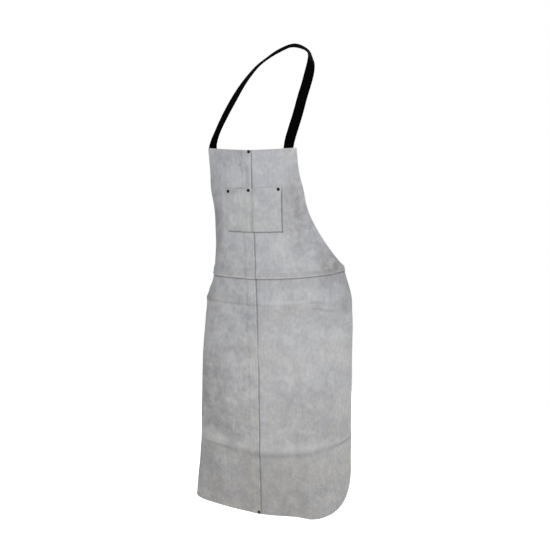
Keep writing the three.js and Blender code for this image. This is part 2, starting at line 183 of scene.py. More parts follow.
def mesh_object(
    name: str,
    places: Array,
    faces: list[list[int]],
    uv: Array | None = None,
    marks: dict[str, Array] | None = None,
) -> bpy.types.Object:
    """A smooth mesh object at the origin.

    Args:
        name: The piece's name.
        places: Vertices in millimetres, one row each.
        faces: Vertex numbers of each face, facing outwards.
        uv: Pattern coordinates in metres, one row per vertex.
        marks: Named values, one per vertex, for the finish to read.

    Returns:
        The new object, linked to the scene.
    """
    mesh = bpy.data.meshes.new(name)
    mesh.from_pydata((places * MM).tolist(), [], faces)
    mesh.polygons.foreach_set("use_smooth", np.ones(len(mesh.polygons), dtype=bool))
    if uv is not None:
        corner = np.empty(len(mesh.loops), dtype=np.int32)
        mesh.loops.foreach_get("vertex_index", corner)
        layer = mesh.uv_layers.new(name="pattern")
        layer.data.foreach_set("uv", uv[corner].astype(np.float32).ravel())
    for key, values in (marks or {}).items():
        mark = mesh.attributes.new(key, "FLOAT", "POINT")
        mark.data.foreach_set("value", values.astype(np.float32).ravel())
    mesh.update()
    made = bpy.data.objects.new(name, mesh)
    bpy.context.scene.collection.objects.link(made)
    return made


def wall_object(
    name: str,
    grid: tuple[Array, Array],
    skins: list[Array],
    marks: dict[str, list[Array]],
) -> bpy.types.Object:
    """A closed wall between two skins over one grid of the leather.

    Args:
        name: The piece's name.
        grid: Distance from the centre seam and drop of every grid point.
        skins: Places of both skins, first the one that the grid's quads face.
        marks: Each mark's values on both skins.

    Returns:
        The new object.
    """
    places = np.concatenate([skin.reshape(-1, 3) for skin in skins])
    uv = np.tile(np.stack(grid, axis=-1).reshape(-1, 2) * MM, (2, 1))
    both = {key: np.concatenate([skin.ravel() for skin in pair]) for key, pair in marks.items()}
    return mesh_object(name, places, wall_faces(*grid[0].shape).tolist(), uv, both)


def aimed_object(name: str, data: bpy.types.ID, place: Triple, aim: Triple) -> bpy.types.Object:
    """A light or camera that looks from one point at another.

    Args:
        name: The object's name.
        data: The light or camera.
        place: Where it stands, in metres.
        aim: What it looks at, in metres.

    Returns:
        The new object, linked to the scene.
    """
    made = bpy.data.objects.new(name, data)
    made.location = place
    made.rotation_mode = "QUATERNION"
    made.rotation_quaternion = (Vector(aim) - Vector(place)).to_track_quat("-Z", "Y")
    bpy.context.scene.collection.objects.link(made)
    return made


class ShaderSketch:
    """A material's node tree, with short calls for the nodes that the finishes share."""

    def __init__(self, name: str) -> None:
        """Start a material with one surface shader.

        Args:
            name: The material's name.
        """
        self.material = bpy.data.materials.new(name)
        self.material.use_nodes = True
        self.tree = self.material.node_tree
        self.tree.nodes.clear()
        output = self.tree.nodes.new("ShaderNodeOutputMaterial")
        self.surface = self.tree.nodes.new("ShaderNodeBsdfPrincipled")
        self.feed(output.inputs["Surface"], self.surface.outputs[0])

    def feed(self, socket: Socket, value: Value) -> None:
        """Link another socket into this one, or set it to a constant.

        Args:
            socket: The input to fill.
            value: A socket, a number, a vector or a colour.
        """
        if isinstance(value, Socket):
            self.tree.links.new(value, socket)
        elif isinstance(value, tuple) and len(value) + 1 == len(socket.default_value):
            socket.default_value = (*value, 1.0)
        else:
            socket.default_value = value

    def add(
        self, kind: str, inputs: dict[str | int, Value], out: str | int = 0, **options: str
    ) -> Socket:
        """A new node.

        Args:
            kind: Its type, without the prefix that all shader nodes share.
            inputs: What goes into its sockets, by name or number.
            out: Name or number of the output that is wanted.
            options: Settings of the node itself.

        Returns:
            The output's socket.
        """
        node = self.tree.nodes.new("ShaderNode" + kind)
        for key, value in options.items():
            setattr(node, key, value)
        for key, value in inputs.items():
            self.feed(node.inputs[key], value)
        return node.outputs[out]

    def set(self, **values: Value) -> None:
        """Fill the surface shader's inputs, with underscores for spaces in their names."""
        for key, value in values.items():
            self.feed(self.surface.inputs[key.replace("_", " ")], value)

    def place(self, offset: Triple = (0.0, 0.0, 0.0), stretch: Triple = (1.0, 1.0, 1.0)) -> Socket:
        """Object coordinates, moved by an offset in metres and stretched along each axis."""
        inputs = {"Vector": self.add("TexCoord", {}, "Object"), "Location": offset, "Scale": stretch}
        return self.add("Mapping", inputs)

    def axis(self, vector: Socket, name: str) -> Socket:
        """One axis of a vector."""
        return self.add("SeparateXYZ", {0: vector}, name)

    def pattern(self, name: str) -> Socket:
        """One axis of the mesh's own pattern coordinates."""
        return self.axis(self.add("UVMap", {}, "UV", uv_map="pattern"), name)

    def mark(self, name: str) -> Socket:
        """A value that the mesh carries under that name."""
        return self.add("Attribute", {}, "Fac", attribute_name=name)

    def ranged(self, value: Value, start: Pair, to: Pair = (0.0, 1.0)) -> Socket:
        """A value moved from one range to another and held inside it."""
        names = ("Value", "From Min", "From Max", "To Min", "To Max")
        return self.add("MapRange", dict(zip(names, (value, *start, *to))), "Result")

    def math(self, operation: str, first: Value, second: Value = 0.0) -> Socket:
        """One sum of two values."""
        return self.add("Math", {0: first, 1: second}, operation=operation)

    def mixed(self, share: Value, first: Value, second: Value, blend: str = "MIX") -> Socket:
        """A share of a second colour blended over a first."""
        inputs = {0: share, 6: first, 7: second}
        return self.add("Mix", inputs, 2, data_type="RGBA", blend_type=blend)

    def ramp(self, value: Value, stops: tuple[tuple[float, Triple], ...]) -> Socket:
        """A colour read from a row of stops.

        Args:
            value: Where along the row, from 0 to 1.
            stops: Place and colour of each stop.

        Returns:
            The colour's socket.
        """
        socket = self.add("ValToRGB", {0: value}, "Color")
        row = socket.node.color_ramp.elements
        while len(row) < len(stops):
            row.new(1.0)
        for element, (place, colour) in zip(row, stops):
            element.position = place
            element.color = (*colour, 1.0)
        return socket

    def bump(self, height: Value, distance: float, strength: float, **under: Value) -> Socket:
        """A normal bumped by a height of 1 that is so many metres, over another Normal if given."""
        inputs = {"Height": height, "Distance": distance, "Strength": strength, **under}
        return self.add("Bump", inputs, "Normal")


@dataclass(frozen=True)
class Mottle:
    """Cloudy noise, read between two of its values to give a tone between two others.

    scale is in patches per metre, detail in octaves of finer patches, and roughness is their strength.
    """

    scale: float
    detail: float
    roughness: float
    read: Pair = (0.3, 0.7)
    tones: Pair = (0.0, 1.0)

    def noise(self, sketch: ShaderSketch, place: Socket) -> Socket:
        """The bare noise at a place, from 0 to 1."""
        inputs = {"Vector": place, "Scale": self.scale, "Detail": self.detail, "Roughness": self.roughness}
        return sketch.add("TexNoise", inputs)

    def spread(self, contrast: float) -> Pair:
        """Both tones, moved away from 1 by a contrast."""
        return tuple(1.0 + (tone - 1.0) * contrast for tone in self.tones)

    def tone(self, sketch: ShaderSketch, place: Socket, contrast: float = 1.0) -> Socket:
        """The tone at a place."""
        return sketch.ranged(self.noise(sketch, place), self.read, self.spread(contrast))


@dataclass(frozen=True)
class SuedeFinish:
    """Napped split leather: cloudy grey that warms and darkens towards the hem, ridges rubbed pale and given
    painted highlights, painted shade in lines and patches, pale raw edges.

    Each mark is laid over the grey with a share and a colour. A bump is a depth in metres and a strength.
    """

    name: str
    offset: Triple
    tint: Triple = WHITE
    cloud_contrast: float = 1.0
    streak_contrast: float = 1.0
    heights: Pair = (-1.39, -0.31)
    # Darker towards the hem, with a step of painted shade under the lower crease's height, between 0.17 and
    # 0.22.
    stops: tuple[tuple[float, Triple], ...] = (
        (0.00, linear(148, 146, 143)),
        (0.17, linear(154, 153, 151)),
        (0.22, linear(164, 164, 164)),
        (0.45, linear(168, 168, 169)),
        (0.68, linear(168, 169, 172)),
        (1.00, linear(174, 175, 180)),
    )
    # In order: rubbed nap and painted highlights, stains and patches of painted shade, lines of painted
    # shade, pale raw edges.
    marks: tuple[tuple[str, float, Triple], ...] = (
        ("rub", 0.5, linear(196, 196, 196)),
        ("stain", 0.8, linear(113, 112, 113)),
        ("soil", 0.75, linear(72, 72, 73)),
        ("raw", 0.3, linear(206, 203, 192)),
    )
    cool: Triple = linear(160, 163, 174)
    warm: Triple = linear(172, 171, 165)
    hue: Mottle = Mottle(11.0, 3.0, 0.55, (0.36, 0.64))
    hue_share: float = 0.2
    clouds: Mottle = Mottle(22.0, 6.0, 0.6, (0.28, 0.72), (0.83, 1.12))
    streaks: Mottle = Mottle(110.0, 4.0, 0.65, (0.3, 0.7), (0.87, 1.09))
    streak_stretch: Triple = (1.0, 1.0, 0.6)
    nap: Mottle = Mottle(850.0, 3.0, 0.65, (0.25, 0.75), (0.9, 1.09))
    nap_bump: Pair = (0.0007, 0.5)
    coarse: Mottle = Mottle(300.0, 2.0, 0.5, (0.3, 0.7), (0.88, 1.12))
    coarse_heights: Pair = (0.1, 0.4)
    patchy: Mottle = Mottle(38.0, 5.0, 0.62, (0.32, 0.68), (0.4, 1.6))
    grain: Mottle = Mottle(130.0, 5.0, 0.6)
    grain_bump: Pair = (0.0016, 0.35)
    rough: Pair = (0.98, 0.86)
    gloss: float = 0.18
    sheen: float = 0.12
    sheen_rough: float = 0.55

    def material(self) -> bpy.types.Material:
        """Build the finish.

        Returns:
            The material, which reads four marks: rubbed nap with painted highlights, stains with patches of
                painted shade, lines of painted shade, and pale raw edges.
        """
        sketch = ShaderSketch(self.name)
        place = sketch.place(self.offset)
        upright = sketch.place(self.offset, self.streak_stretch)
        height = sketch.ranged(sketch.axis(sketch.place(), "Z"), self.heights)
        hues = sketch.mixed(self.hue.tone(sketch, place), self.cool, self.warm)
        colour = sketch.mixed(self.hue_share, sketch.ramp(height, self.stops), hues)
        clouds = self.clouds.tone(sketch, place, self.cloud_contrast)
        layers = (
            (1.0, clouds),
            (1.0, self.streaks.tone(sketch, upright, self.streak_contrast)),
            (1.0, self.nap.tone(sketch, place)),
            (sketch.ranged(height, self.coarse_heights, (1.0, 0.0)), self.coarse.tone(sketch, place)),
            (1.0, self.tint),
        )
        for share, tone in layers:
            colour = sketch.mixed(share, colour, tone, "MULTIPLY")
        patchy = self.patchy.tone(sketch, place)
        for name, share, over in self.marks:
            amount = sketch.math("MULTIPLY", sketch.mark(name), share)
            if name == "stain":
                amount = sketch.math("MULTIPLY", amount, patchy)
            colour = sketch.mixed(amount, colour, over)
        normal = sketch.bump(self.grain.noise(sketch, place), *self.grain_bump)
        normal = sketch.bump(self.nap.noise(sketch, place), *self.nap_bump, Normal=normal)
        rough = sketch.ranged(clouds, self.clouds.spread(self.cloud_contrast), self.rough)
        sketch.set(Base_Color=colour, Roughness=rough, Normal=normal, Specular_IOR_Level=self.gloss)
        sketch.set(Sheen_Weight=self.sheen, Sheen_Roughness=self.sheen_rough)
        return sketch.material


@dataclass(frozen=True)
class WebbingFinish:
    """Black woven tape: rows of yarn across it, floating over and under, with a matt bloom."""

    name: str = "black_webbing"
    yarn_pitch: float = 1.7
    row_pitch: float = 1.25
    # The weave's hollows are painted darker than its crowns, as painted shade.
    deep: Triple = linear(1, 1, 1)
    proud: Triple = linear(3, 3, 3)
    worn: Mottle = Mottle(14.0, 3.0, 0.5, (0.35, 0.7), (0.8, 1.25))
    worn_offset: Triple = (0.4, 0.1, 0.0)
    fuzz: Mottle = Mottle(900.0, 2.0, 0.6, (0.3, 0.7), (0.75, 0.92))
    fuzz_bump: Pair = (0.0002, 0.3)
    weave_bump: Pair = (0.0004, 0.7)
    gloss: float = 0.02

    def material(self) -> bpy.types.Material:
        """Build the finish: height is the product of a wave across the tape and one along it.

        Returns:
            The material, which reads the strap's pattern coordinates.
        """
        sketch = ShaderSketch(self.name)
        place = sketch.place()
        across = sketch.math("MULTIPLY", sketch.pattern("X"), math.pi / (self.yarn_pitch * MM))
        along = sketch.math("MULTIPLY", sketch.pattern("Y"), math.pi / (self.row_pitch * MM))
        weave = sketch.math("MULTIPLY", sketch.math("SINE", across), sketch.math("SINE", along))
        height = sketch.ranged(weave, (-1.0, 1.0))
        worn = self.worn.tone(sketch, sketch.place(self.worn_offset))
        colour = sketch.mixed(height, self.deep, self.proud)
        colour = sketch.mixed(1.0, colour, worn, "MULTIPLY")
        normal = sketch.bump(height, *self.weave_bump)
        normal = sketch.bump(self.fuzz.noise(sketch, place), *self.fuzz_bump, Normal=normal)
        rough = self.fuzz.tone(sketch, place)
        sketch.set(Base_Color=colour, Roughness=rough, Normal=normal, Specular_IOR_Level=self.gloss)
        return sketch.material


@dataclass(frozen=True)
class LacquerFinish:
    """Black lacquer on a pressed metal rivet, scuffed on the crown of the cap."""

    name: str = "black_rivet_lacquer"
    lacquer: Triple = linear(12, 12, 13)
    scuffed: Triple = linear(62, 60, 57)
    specks: Mottle = Mottle(1400.0, 4.0, 0.7, (0.58, 0.7))
    scuff_share: float = 0.5
    haze: Mottle = Mottle(700.0, 3.0, 0.6, (0.3, 0.7), (0.5, 0.7))
    pits: Mottle = Mottle(900.0, 2.0, 0.5)
    pit_bump: Pair = (0.0001, 0.25)
    gloss: float = 0.25

    def material(self) -> bpy.types.Material:
        """Build the finish.

        Returns:
            The material, which reads the mark crown.
        """
        sketch = ShaderSketch(self.name)
        place = sketch.place()
        scuff = sketch.math("MULTIPLY", self.specks.tone(sketch, place), sketch.mark("crown"))
        share = sketch.math("MULTIPLY", scuff, self.scuff_share)
        colour = sketch.mixed(share, self.lacquer, self.scuffed)
        normal = sketch.bump(self.pits.noise(sketch, place), *self.pit_bump)
        rough = self.haze.tone(sketch, place)
        sketch.set(Base_Color=colour, Roughness=rough, Normal=normal, Specular_IOR_Level=self.gloss)
        return sketch.material


@dataclass(frozen=True)
class ThreadFinish:
    """Muted khaki sewing thread with a twist."""

    name: str = "khaki_thread"
    # The twist's grooves are painted darker than its crowns, as painted shade.
    light: Triple = linear(186, 180, 160)
    dark: Triple = linear(150, 144, 124)
    strands: float = 5.0
    twist_bump: Pair = (0.0002, 0.6)
    soil: Mottle = Mottle(30.0, 3.0, 0.6, (0.3, 0.7), (0.82, 1.08))
    haze: Mottle = Mottle(30.0, 3.0, 0.6, (0.3, 0.7), (0.75, 0.9))
    soil_offset: Triple = (0.2, 0.0, 0.3)
    gloss: float = 0.25

    def material(self) -> bpy.types.Material:
        """Build the finish: strands wind round each stitch, from the pattern coordinates.

        Returns:
            The material.
        """
        sketch = ShaderSketch(self.name)
        place = sketch.place(self.soil_offset)
        winding = sketch.math("MULTIPLY", sketch.pattern("X"), self.strands)
        turn = sketch.math("ADD", winding, sketch.pattern("Y"))
        wave = sketch.math("SINE", sketch.math("MULTIPLY", turn, 2.0 * math.pi))
        twist = sketch.ranged(wave, (-1.0, 1.0))
        colour = sketch.mixed(twist, self.dark, self.light)
        colour = sketch.mixed(1.0, colour, self.soil.tone(sketch, place), "MULTIPLY")
        sketch.set(Base_Color=colour, Roughness=self.haze.tone(sketch, place))
        sketch.set(Normal=sketch.bump(twist, *self.twist_bump), Specular_IOR_Level=self.gloss)
        return sketch.material


@dataclass(frozen=True)
class FloorFinish:
    """Pale, even studio floor."""

    name: str = "pale_floor"
    pale: Triple = linear(246, 246, 246)
    dust: Mottle = Mottle(3.0, 2.0, 0.5, (0.3, 0.7), (0.85, 0.95))
    glow: float = 0.85
    gloss: float = 0.1

    def material(self) -> bpy.types.Material:
        """Build the finish.

        Returns:
            The material.
        """
        sketch = ShaderSketch(self.name)
        sketch.set(Base_Color=self.pale, Roughness=self.dust.tone(sketch, sketch.place()))
        sketch.set(Emission_Color=self.pale, Emission_Strength=self.glow, Specular_IOR_Level=self.gloss)
        return sketch.material


@dataclass(frozen=True)
class Sections:
    """Level sections of one half of the worn leather, one entry per drop below the bib's top edge.

    back is how far the centre seam lies behind the bib's top edge, lift the rise of the cut edge
    over the seam, front and bend lengths along the leather, and turn and hook how far those two
    turn, in degrees.
    """

    lift: tuple[float, ...]
    front: tuple[float, ...]
    turn: tuple[float, ...]
    bend: tuple[float, ...]
    hook: tuple[float, ...]
    back: tuple[float, ...] = (0, 9, 20, 29, 34, 42, 50, 54, 60)
    drop: tuple[float, ...] = (0, 150, 260, 367, 440, 620, 800, 890, 1067)

    def column(self, name: str, drop: Array) -> Array:
        """One column at any drop, as cubic pieces whose slopes come from the entries on either side.

        Args:
            name: The column.
            drop: Where to read it.

        Returns:
            The column's values.
        """
        place = np.asarray(self.drop, dtype=float)
        value = np.asarray(getattr(self, name), dtype=float)
        rows = np.arange(len(place))
        before, after = np.maximum(rows - 1, 0), np.minimum(rows + 1, rows[-1])
        slope = (value[after] - value[before]) / (place[after] - place[before])
        i = np.clip(np.searchsorted(place, drop, side="right") - 1, 0, rows[-1] - 1)
        run = place[i + 1] - place[i]
        return cubic((drop - place[i]) / run, value[i], value[i + 1], run * slope[i], run * slope[i + 1])


LEFT_SECTIONS = Sections(
    lift=(22, 8, 4, 0, 0, 4, 8, 12, 12),
    front=(150, 105, 100, 116, 150, 180, 197, 205, 232),
    turn=(4, 14, 16, 18, 16, 14, 13, 13, 12),
    bend=(155, 140, 150, 160, 120, 90, 60, 50, 32),
    hook=(60, 80, 80, 76, 80, 85, 90, 90, 95),
)
RIGHT_SECTIONS = Sections(
    lift=(14, 16, 16, 20, 17, 16, 24, 34, 14),
    front=(150,) * 9,
    turn=(5, 22, 34, 38, 34, 32, 31, 31, 31),
    bend=(155,) * 9,
    hook=(50, 54, 60, 52, 46, 52, 57, 58, 60),
)


@dataclass(frozen=True)
class Fold:
    """A ridge pressed out of the leather, bounded by start and end along its run.

    Its crest is painted pale as a highlight over its line and its trough painted dark as shade under it.
    Both are placed by shares of the fold's spread.
    """

    name: str
    run: Run
    at: float
    start: float
    end: float
    fade: float
    spread: float
    height: float
    slope: float = 0.0
    # Strengths of the painted shade under the line and the painted highlight on the crest.
    trough_shade: float = 0.5
    ridge_highlight: float = 0.1
    bow: float = 0.0
    crest: float = 0.2
    trough: float = 0.1
    trough_reach: float = 0.12
    least_reach: float = 3.2

    def off(self, s: Array, drop: Array) -> Array:
        """Distance across the fold's line, which slopes and bows in a bell.

        Args:
            s: Distance from the centre seam.
            drop: Distance below the top edge.

        Returns:
            The distance below a level fold or right of an upright one.
        """
        along, across = (s, drop) if self.run is Run.LEVEL else (drop, s)
        bow = self.bow * hump(along, (self.start + self.end) / 2.0, (self.end - self.start) / 4.0)
        return across - self.at - self.slope * (along - self.start) - bow

    def share(self, s: Array, drop: Array) -> Array:
        """How much of the fold is there: an ease in over its faded start and out over its end.

        Args:
            s: Distance from the centre seam.
            drop: Distance below the top edge.

        Returns:
            The share, from 0 to 1.
        """
        along = s if self.run is Run.LEVEL else drop
        come = smoothstep(along, self.start, self.start + self.fade)
        return come * (1.0 - smoothstep(along, self.end - self.fade, self.end))

    def height_at(self, s: Array, drop: Array) -> Array:
        """Height of the ridge: its height times the squared nearness to its line."""
        near = 1.0 - np.minimum(np.abs(self.off(s, drop)) / self.spread, 1.0)
        return self.height * near * near * self.share(s, drop)

    def crest_highlight_at(self, s: Array, drop: Array) -> Array:
        """Painted highlight along the crest of the fold, above its line."""
        reach = self.crest * self.spread
        return self.ridge_highlight * self.share(s, drop) * hump(self.off(s, drop), -reach, reach)

    def shade_at(self, s: Array, drop: Array) -> Array:
        """Painted shade along the trough of the fold, under its line."""
        reach = max(self.trough_reach * self.spread, self.least_reach)
        return self.trough_shade * self.share(s, drop) * hump(self.off(s, drop), self.trough * self.spread, reach)


# Columns: name, run, at, start, end, fade, spread, height, slope, painted shade in the trough, painted
# highlight on the crest, bow
FOLDS = (
    Fold("upper crease", Run.LEVEL, 433.5, -290, 30, 60, 26, 3, 0.02, 0.35),
    Fold("hip crease", Run.LEVEL, 449, 150, 250, 30, 26, 3, 0.23, 0.3, 0.25),
    Fold("lower crease", Run.LEVEL, 868, -240, 330, 90, 60, 6, 0.0, 0.32, 0.26, 14.0),
    Fold("front flute", Run.UPRIGHT, 146, 690, 1200, 330, 48, 18),
    Fold("left wrinkle", Run.LEVEL, 806, -110, -8, 40, 20, 1.8, 0.25, 0.16),
    Fold("left wrinkle below", Run.LEVEL, 828, -90, -10, 30, 18, 1.5, 0.25, 0.12),
    Fold("lower crease at the side", Run.LEVEL, 872, 200, 420, 60, 26, 0.8, 0.0, 0.4, 0.35),
    Fold("upper crease on the front", Run.LEVEL, 439, 0, 165, 40, 24, 0.8, 0.0, 0.05, 0.4),
    Fold("lower crease on the left", Run.LEVEL, 868, -290, -60, 60, 24, 0.6, 0.05, 0.15, 0.25),
    Fold("hip crease above", Run.LEVEL, 434, 143, 200, 16, 16, 0.6, 0.1, 0.28, 0.0),
    Fold("side tuck", Run.LEVEL, 515, 235, 306, 30, 18, 1.8, -0.1, 0.2),
    Fold("waist tuck left", Run.LEVEL, 400, -290, -180, 40, 20, 1.6, 0.1, 0.15),
)


@dataclass(frozen=True)
class Tone:
    """A broad darker patch of the leather, mostly painted shade where the leather turns away from the light,
    over and under its creases and beside the pocket, and partly uneven tone: its middle and half width
    across, its top and foot, how softly each of the three fades, and its strength."""

    name: str
    s: float
    half: float
    top: float
    foot: float
    soft_side: float
    soft_top: float
    soft_foot: float
    strength: float

    def at(self, s: Array, drop: Array) -> Array:
        """Strength of the patch: the product of an ease at each of its sides.

        Args:
            s: Distance from the centre seam.
            drop: Distance below the top edge.

        Returns:
            The strength, from 0 outside to full inside.
        """
        off = np.abs(s - self.s)
        across = 1.0 - smoothstep(off, self.half - self.soft_side, self.half + self.soft_side)
        into = smoothstep(drop, self.top - self.soft_top, self.top + self.soft_top)
        out = 1.0 - smoothstep(drop, self.foot - self.soft_foot, self.foot + self.soft_foot)
        return self.strength * across * into * out


# Mostly painted shade on the turning flanks, over and under the creases and beside the pocket, with some
# patches of uneven tone.
# Columns: name, s, half, top, foot, soft_side, soft_top, soft_foot, strength
TONES = (
    Tone("bib top left", -60, 50, -20, 30, 40, 5, 20, 0.3),
    Tone("turn of the left bib", -150, 38, 40, 300, 24, 40, 50, 0.48),
    Tone("bib beside the armhole", 150, 45, 60, 300, 35, 50, 50, 0.45),
    Tone("right flank of the bib", 235, 45, 275, 380, 35, 30, 30, 0.55),
    Tone("beside the pocket", 112, 24, 108, 235, 8, 12, 12, 0.16),
    Tone("along the waist", 120, 150, 345, 400, 50, 14, 16, 0.22),
    Tone("fold at the left hip", -190, 35, 425, 442, 16, 8, 8, 0.6),
    Tone("right hip", 290, 30, 370, 485, 20, 30, 20, 0.35),
    Tone("left hip", -190, 50, 430, 600, 40, 30, 60, 0.2),
    Tone("front under the upper crease", 130, 130, 440, 505, 40, 8, 40, 0.2),
    Tone("left thigh", -195, 85, 605, 835, 60, 70, 24, 0.6),
    Tone("over the lower crease on the left", -80, 50, 770, 850, 40, 40, 18, 0.32),
    Tone("over the lower crease on the front", 130, 80, 690, 850, 50, 60, 18, 0.26),
    Tone("over the lower crease on the right", 240, 50, 800, 866, 40, 40, 10, 0.25),
    Tone("under the lower crease", -70, 230, 876, 1130, 70, 9, 60, 0.24),
    Tone("front of the hem", 105, 80, 975, 1130, 50, 30, 30, 0.18),
    Tone("left of the flute", 128, 10, 880, 1130, 8, 30, 20, 0.08),
    Tone("left of the hem", -205, 70, 885, 1010, 40, 20, 50, 0.2),
)


@dataclass(frozen=True)
class Ripples:
    """Slight uneven waves that hang in all soft leather."""

    seed: int = 5
    count: int = 14
    longest: float = 210.0
    shortest: float = 52.0
    height: float = 0.34

    def at(self, s: Array, drop: Array) -> Array:
        """Sum of plane waves of random heading and phase, drawn once from the seed.

        Args:
            s: Distance from the centre seam.
            drop: Distance below the top edge.

        Returns:
            The height of the waves.
        """
        draw = np.random.default_rng(self.seed)
        length = draw.uniform(self.shortest, self.longest, self.count)
        heading = draw.uniform(0.0, math.pi, self.count)
        phase = draw.uniform(0.0, 2.0 * math.pi, self.count)
        across, down = np.cos(heading) / length, np.sin(heading) / length
        turns = np.multiply.outer(s, across) + np.multiply.outer(drop, down)
        waves = np.sin(2.0 * math.pi * turns + phase) * length / self.longest
        return self.height * waves.sum(axis=-1)


@dataclass(frozen=True)
class WornLeather:
    """The cut of the apron and the shape that its leather takes when worn."""

    length: float = 1067.0
    half_width: float = 305.0
    bib_top_half: float = 141.0
    armhole_start: float = 54.0
    waist_corner_half: float = 284.0
    waist_corner_drop: float = 350.0
    hip_run: float = 100.0
    armhole_ease: float = 6.0
    armhole_ease_drop: float = 115.0
    armhole_ease_reach: float = 42.0
    hem_corner_radius: float = 100.0
    sag: float = 12.0
    sag_middle: float = 172.0
    sag_reach: float = 48.0
    sag_start: float = 820.0
    waist_seam_drop: float = 364.5
    thickness: float = 1.6
    gap: float = 0.3
    centre_lap: float = 24.0
    waist_lap: float = 20.0
    lap_ramp: float = 10.0
    seam_edge: float = 1.0
    bib_top_back: float = -266.0
    bib_top_height: float = -317.0
    lift_power: float = 1.5
    edge_radius: float = 0.7
    edge_flat: float = 0.5
    raw_reach: float = 1.3
    probe: float = 0.5
    folds: tuple[Fold, ...] = FOLDS
    ripples: Ripples = Ripples()

    @property
    def layer(self) -> float:
        """One leather and the gap over it."""
        return self.thickness + self.gap

    def half_width_at(self, drop: Array) -> Array:
        """Half the cut width: straight bib, armhole arc with a bell of ease, hip and rounded hem corner.

        Args:
            drop: Distance below the top edge.

        Returns:
            The distance from the centre seam to the cut edge.
        """
        run = self.waist_corner_drop - self.armhole_start
        reach = self.waist_corner_half - self.bib_top_half
        radius = (run * run + reach * reach) / (2.0 * reach)
        along = np.clip(drop - self.armhole_start, 0.0, run)
        armhole = self.bib_top_half + radius - np.sqrt(radius * radius - along * along)
        armhole += self.armhole_ease * hump(drop, self.armhole_ease_drop, self.armhole_ease_reach)
        hip = np.clip((drop - self.waist_corner_drop) / self.hip_run, 0.0, 1.0)
        side = self.waist_corner_half + (self.half_width - self.waist_corner_half) * hip
        corner = self.hem_corner_radius
        into = np.clip(drop - (self.length - corner), 0.0, corner)
        skirt = side - corner + np.sqrt(corner * corner - into * into)
        return np.where(drop <= self.waist_corner_drop, armhole, skirt)

    def edge_distance(self, s: Array, drop: Array) -> Array:
        """Distance to the nearest cut edge: straight across the slope of the sides, round in the corner.

        Args:
            s: Distance from the centre seam.
            drop: Distance below the top edge.

        Returns:
            The distance to the outline.
        """
        a = np.abs(s)
        rise = self.half_width_at(np.minimum(drop + self.probe, self.waist_corner_drop))
        fall = self.half_width_at(np.minimum(drop - self.probe, self.waist_corner_drop))
        slope = (rise - fall) / (2.0 * self.probe)
        sides = (self.half_width_at(drop) - a) / np.sqrt(1.0 + slope * slope)
        corner = self.hem_corner_radius
        over, under = a - (self.half_width - corner), drop - (self.length - corner)
        rounded = corner - np.hypot(over, under)
        inside = (over > 0.0) & (under > 0.0)
        return np.where(inside, rounded, np.minimum(np.minimum(sides, drop), self.length - drop))

    def point(self, s: Array, drop: Array) -> Array:
        """Place of the worn leather's base surface.

        From the centre seam the leather follows a gentle front arc, then a tighter bend, then goes
        straight; the arcs' lengths and turns come from the sections. It drops straight down, is
        lifted towards the cut edge by a power of the distance, sags in a bell at the foot of the
        flute, and folds and ripples push it outwards.

        Args:
            s: Distance from the centre seam.
            drop: Distance below the top edge.

        Returns:
            Places, in the last axis.
        """
        s, drop = np.broadcast_arrays(np.asarray(s, dtype=float), np.asarray(drop, dtype=float))
        left, a = s < 0.0, np.abs(s)

        def either(name: str) -> Array:
            """The column of whichever half a place is on."""
            return np.where(left, LEFT_SECTIONS.column(name, drop), RIGHT_SECTIONS.column(name, drop))

        front, bend = either("front"), either("bend")
        turn, hook = np.radians(either("turn")), np.radians(either("hook"))
        lift = either("lift") * (a / self.half_width) ** self.lift_power
        first = arc_step(np.minimum(a, front), np.zeros_like(a), turn / front)
        second = arc_step(np.clip(a - front, 0.0, bend), first[2], hook / bend)
        cosine, sine = np.cos(second[2]), np.sin(second[2])
        rest = np.maximum(a - front - bend, 0.0)
        proud = sum((fold.height_at(s, drop) for fold in self.folds), self.ripples.at(s, drop))
        across = first[0] + second[0] + rest * cosine + proud * sine
        back = first[1] + second[1] + rest * sine - proud * cosine
        seam = self.bib_top_back + LEFT_SECTIONS.column("back", drop)
        sag = self.sag * hump(s, self.sag_middle, self.sag_reach)
        height = self.bib_top_height - drop + lift - sag * smoothstep(drop, self.sag_start, self.length)
        return np.stack([np.where(left, -across, across), seam + back, height], axis=-1)

    def along(self, s: Array, drop: Array, across: float, down: float) -> Array:
        """A short step over the base surface, towards so much across and so much down."""
        across, down = self.probe * across, self.probe * down
        return self.point(s + across, drop + down) - self.point(s - across, drop - down)

    def normal(self, s: Array, drop: Array) -> Array:
        """The way the outer face looks: the drop direction crossed with the sideways direction."""
        return unit(np.cross(self.along(s, drop, 0.0, 1.0), self.along(s, drop, 1.0, 0.0)))

    def raised(self, s: Array, drop: Array, height: Array | float) -> Array:
        """A place moved off the base surface along its normal."""
        return self.point(s, drop) + self.normal(s, drop) * np.asarray(height)[..., None]

    def half_thickness(self, inset: Array) -> Array:
        """Half the wall at a distance in from the cut: full inside, rounded over to a flat rim."""
        near = 1.0 - np.clip(inset / self.edge_radius, 0.0, 1.0)
        return self.thickness / 2.0 * (self.edge_flat + (1.0 - self.edge_flat) * np.sqrt(1.0 - near * near))

    def over_centre(self, s: Array) -> Array:
        """Share of a layer that the left half rises to lap over the right."""
        return smoothstep(s, -self.centre_lap - self.lap_ramp, -self.centre_lap)

    def beside_centre(self, s: Array) -> Array:
        """Share of a layer that the right bib rises over the skirt's lapped seam."""
        return 1.0 - smoothstep(s, self.seam_edge, self.seam_edge + self.lap_ramp)

    def over_waist(self, drop: Array) -> Array:
        """Share of a layer that the bib rises to lap over the skirt."""
        start = self.waist_seam_drop - self.waist_lap
        return smoothstep(drop, start - self.lap_ramp, start)


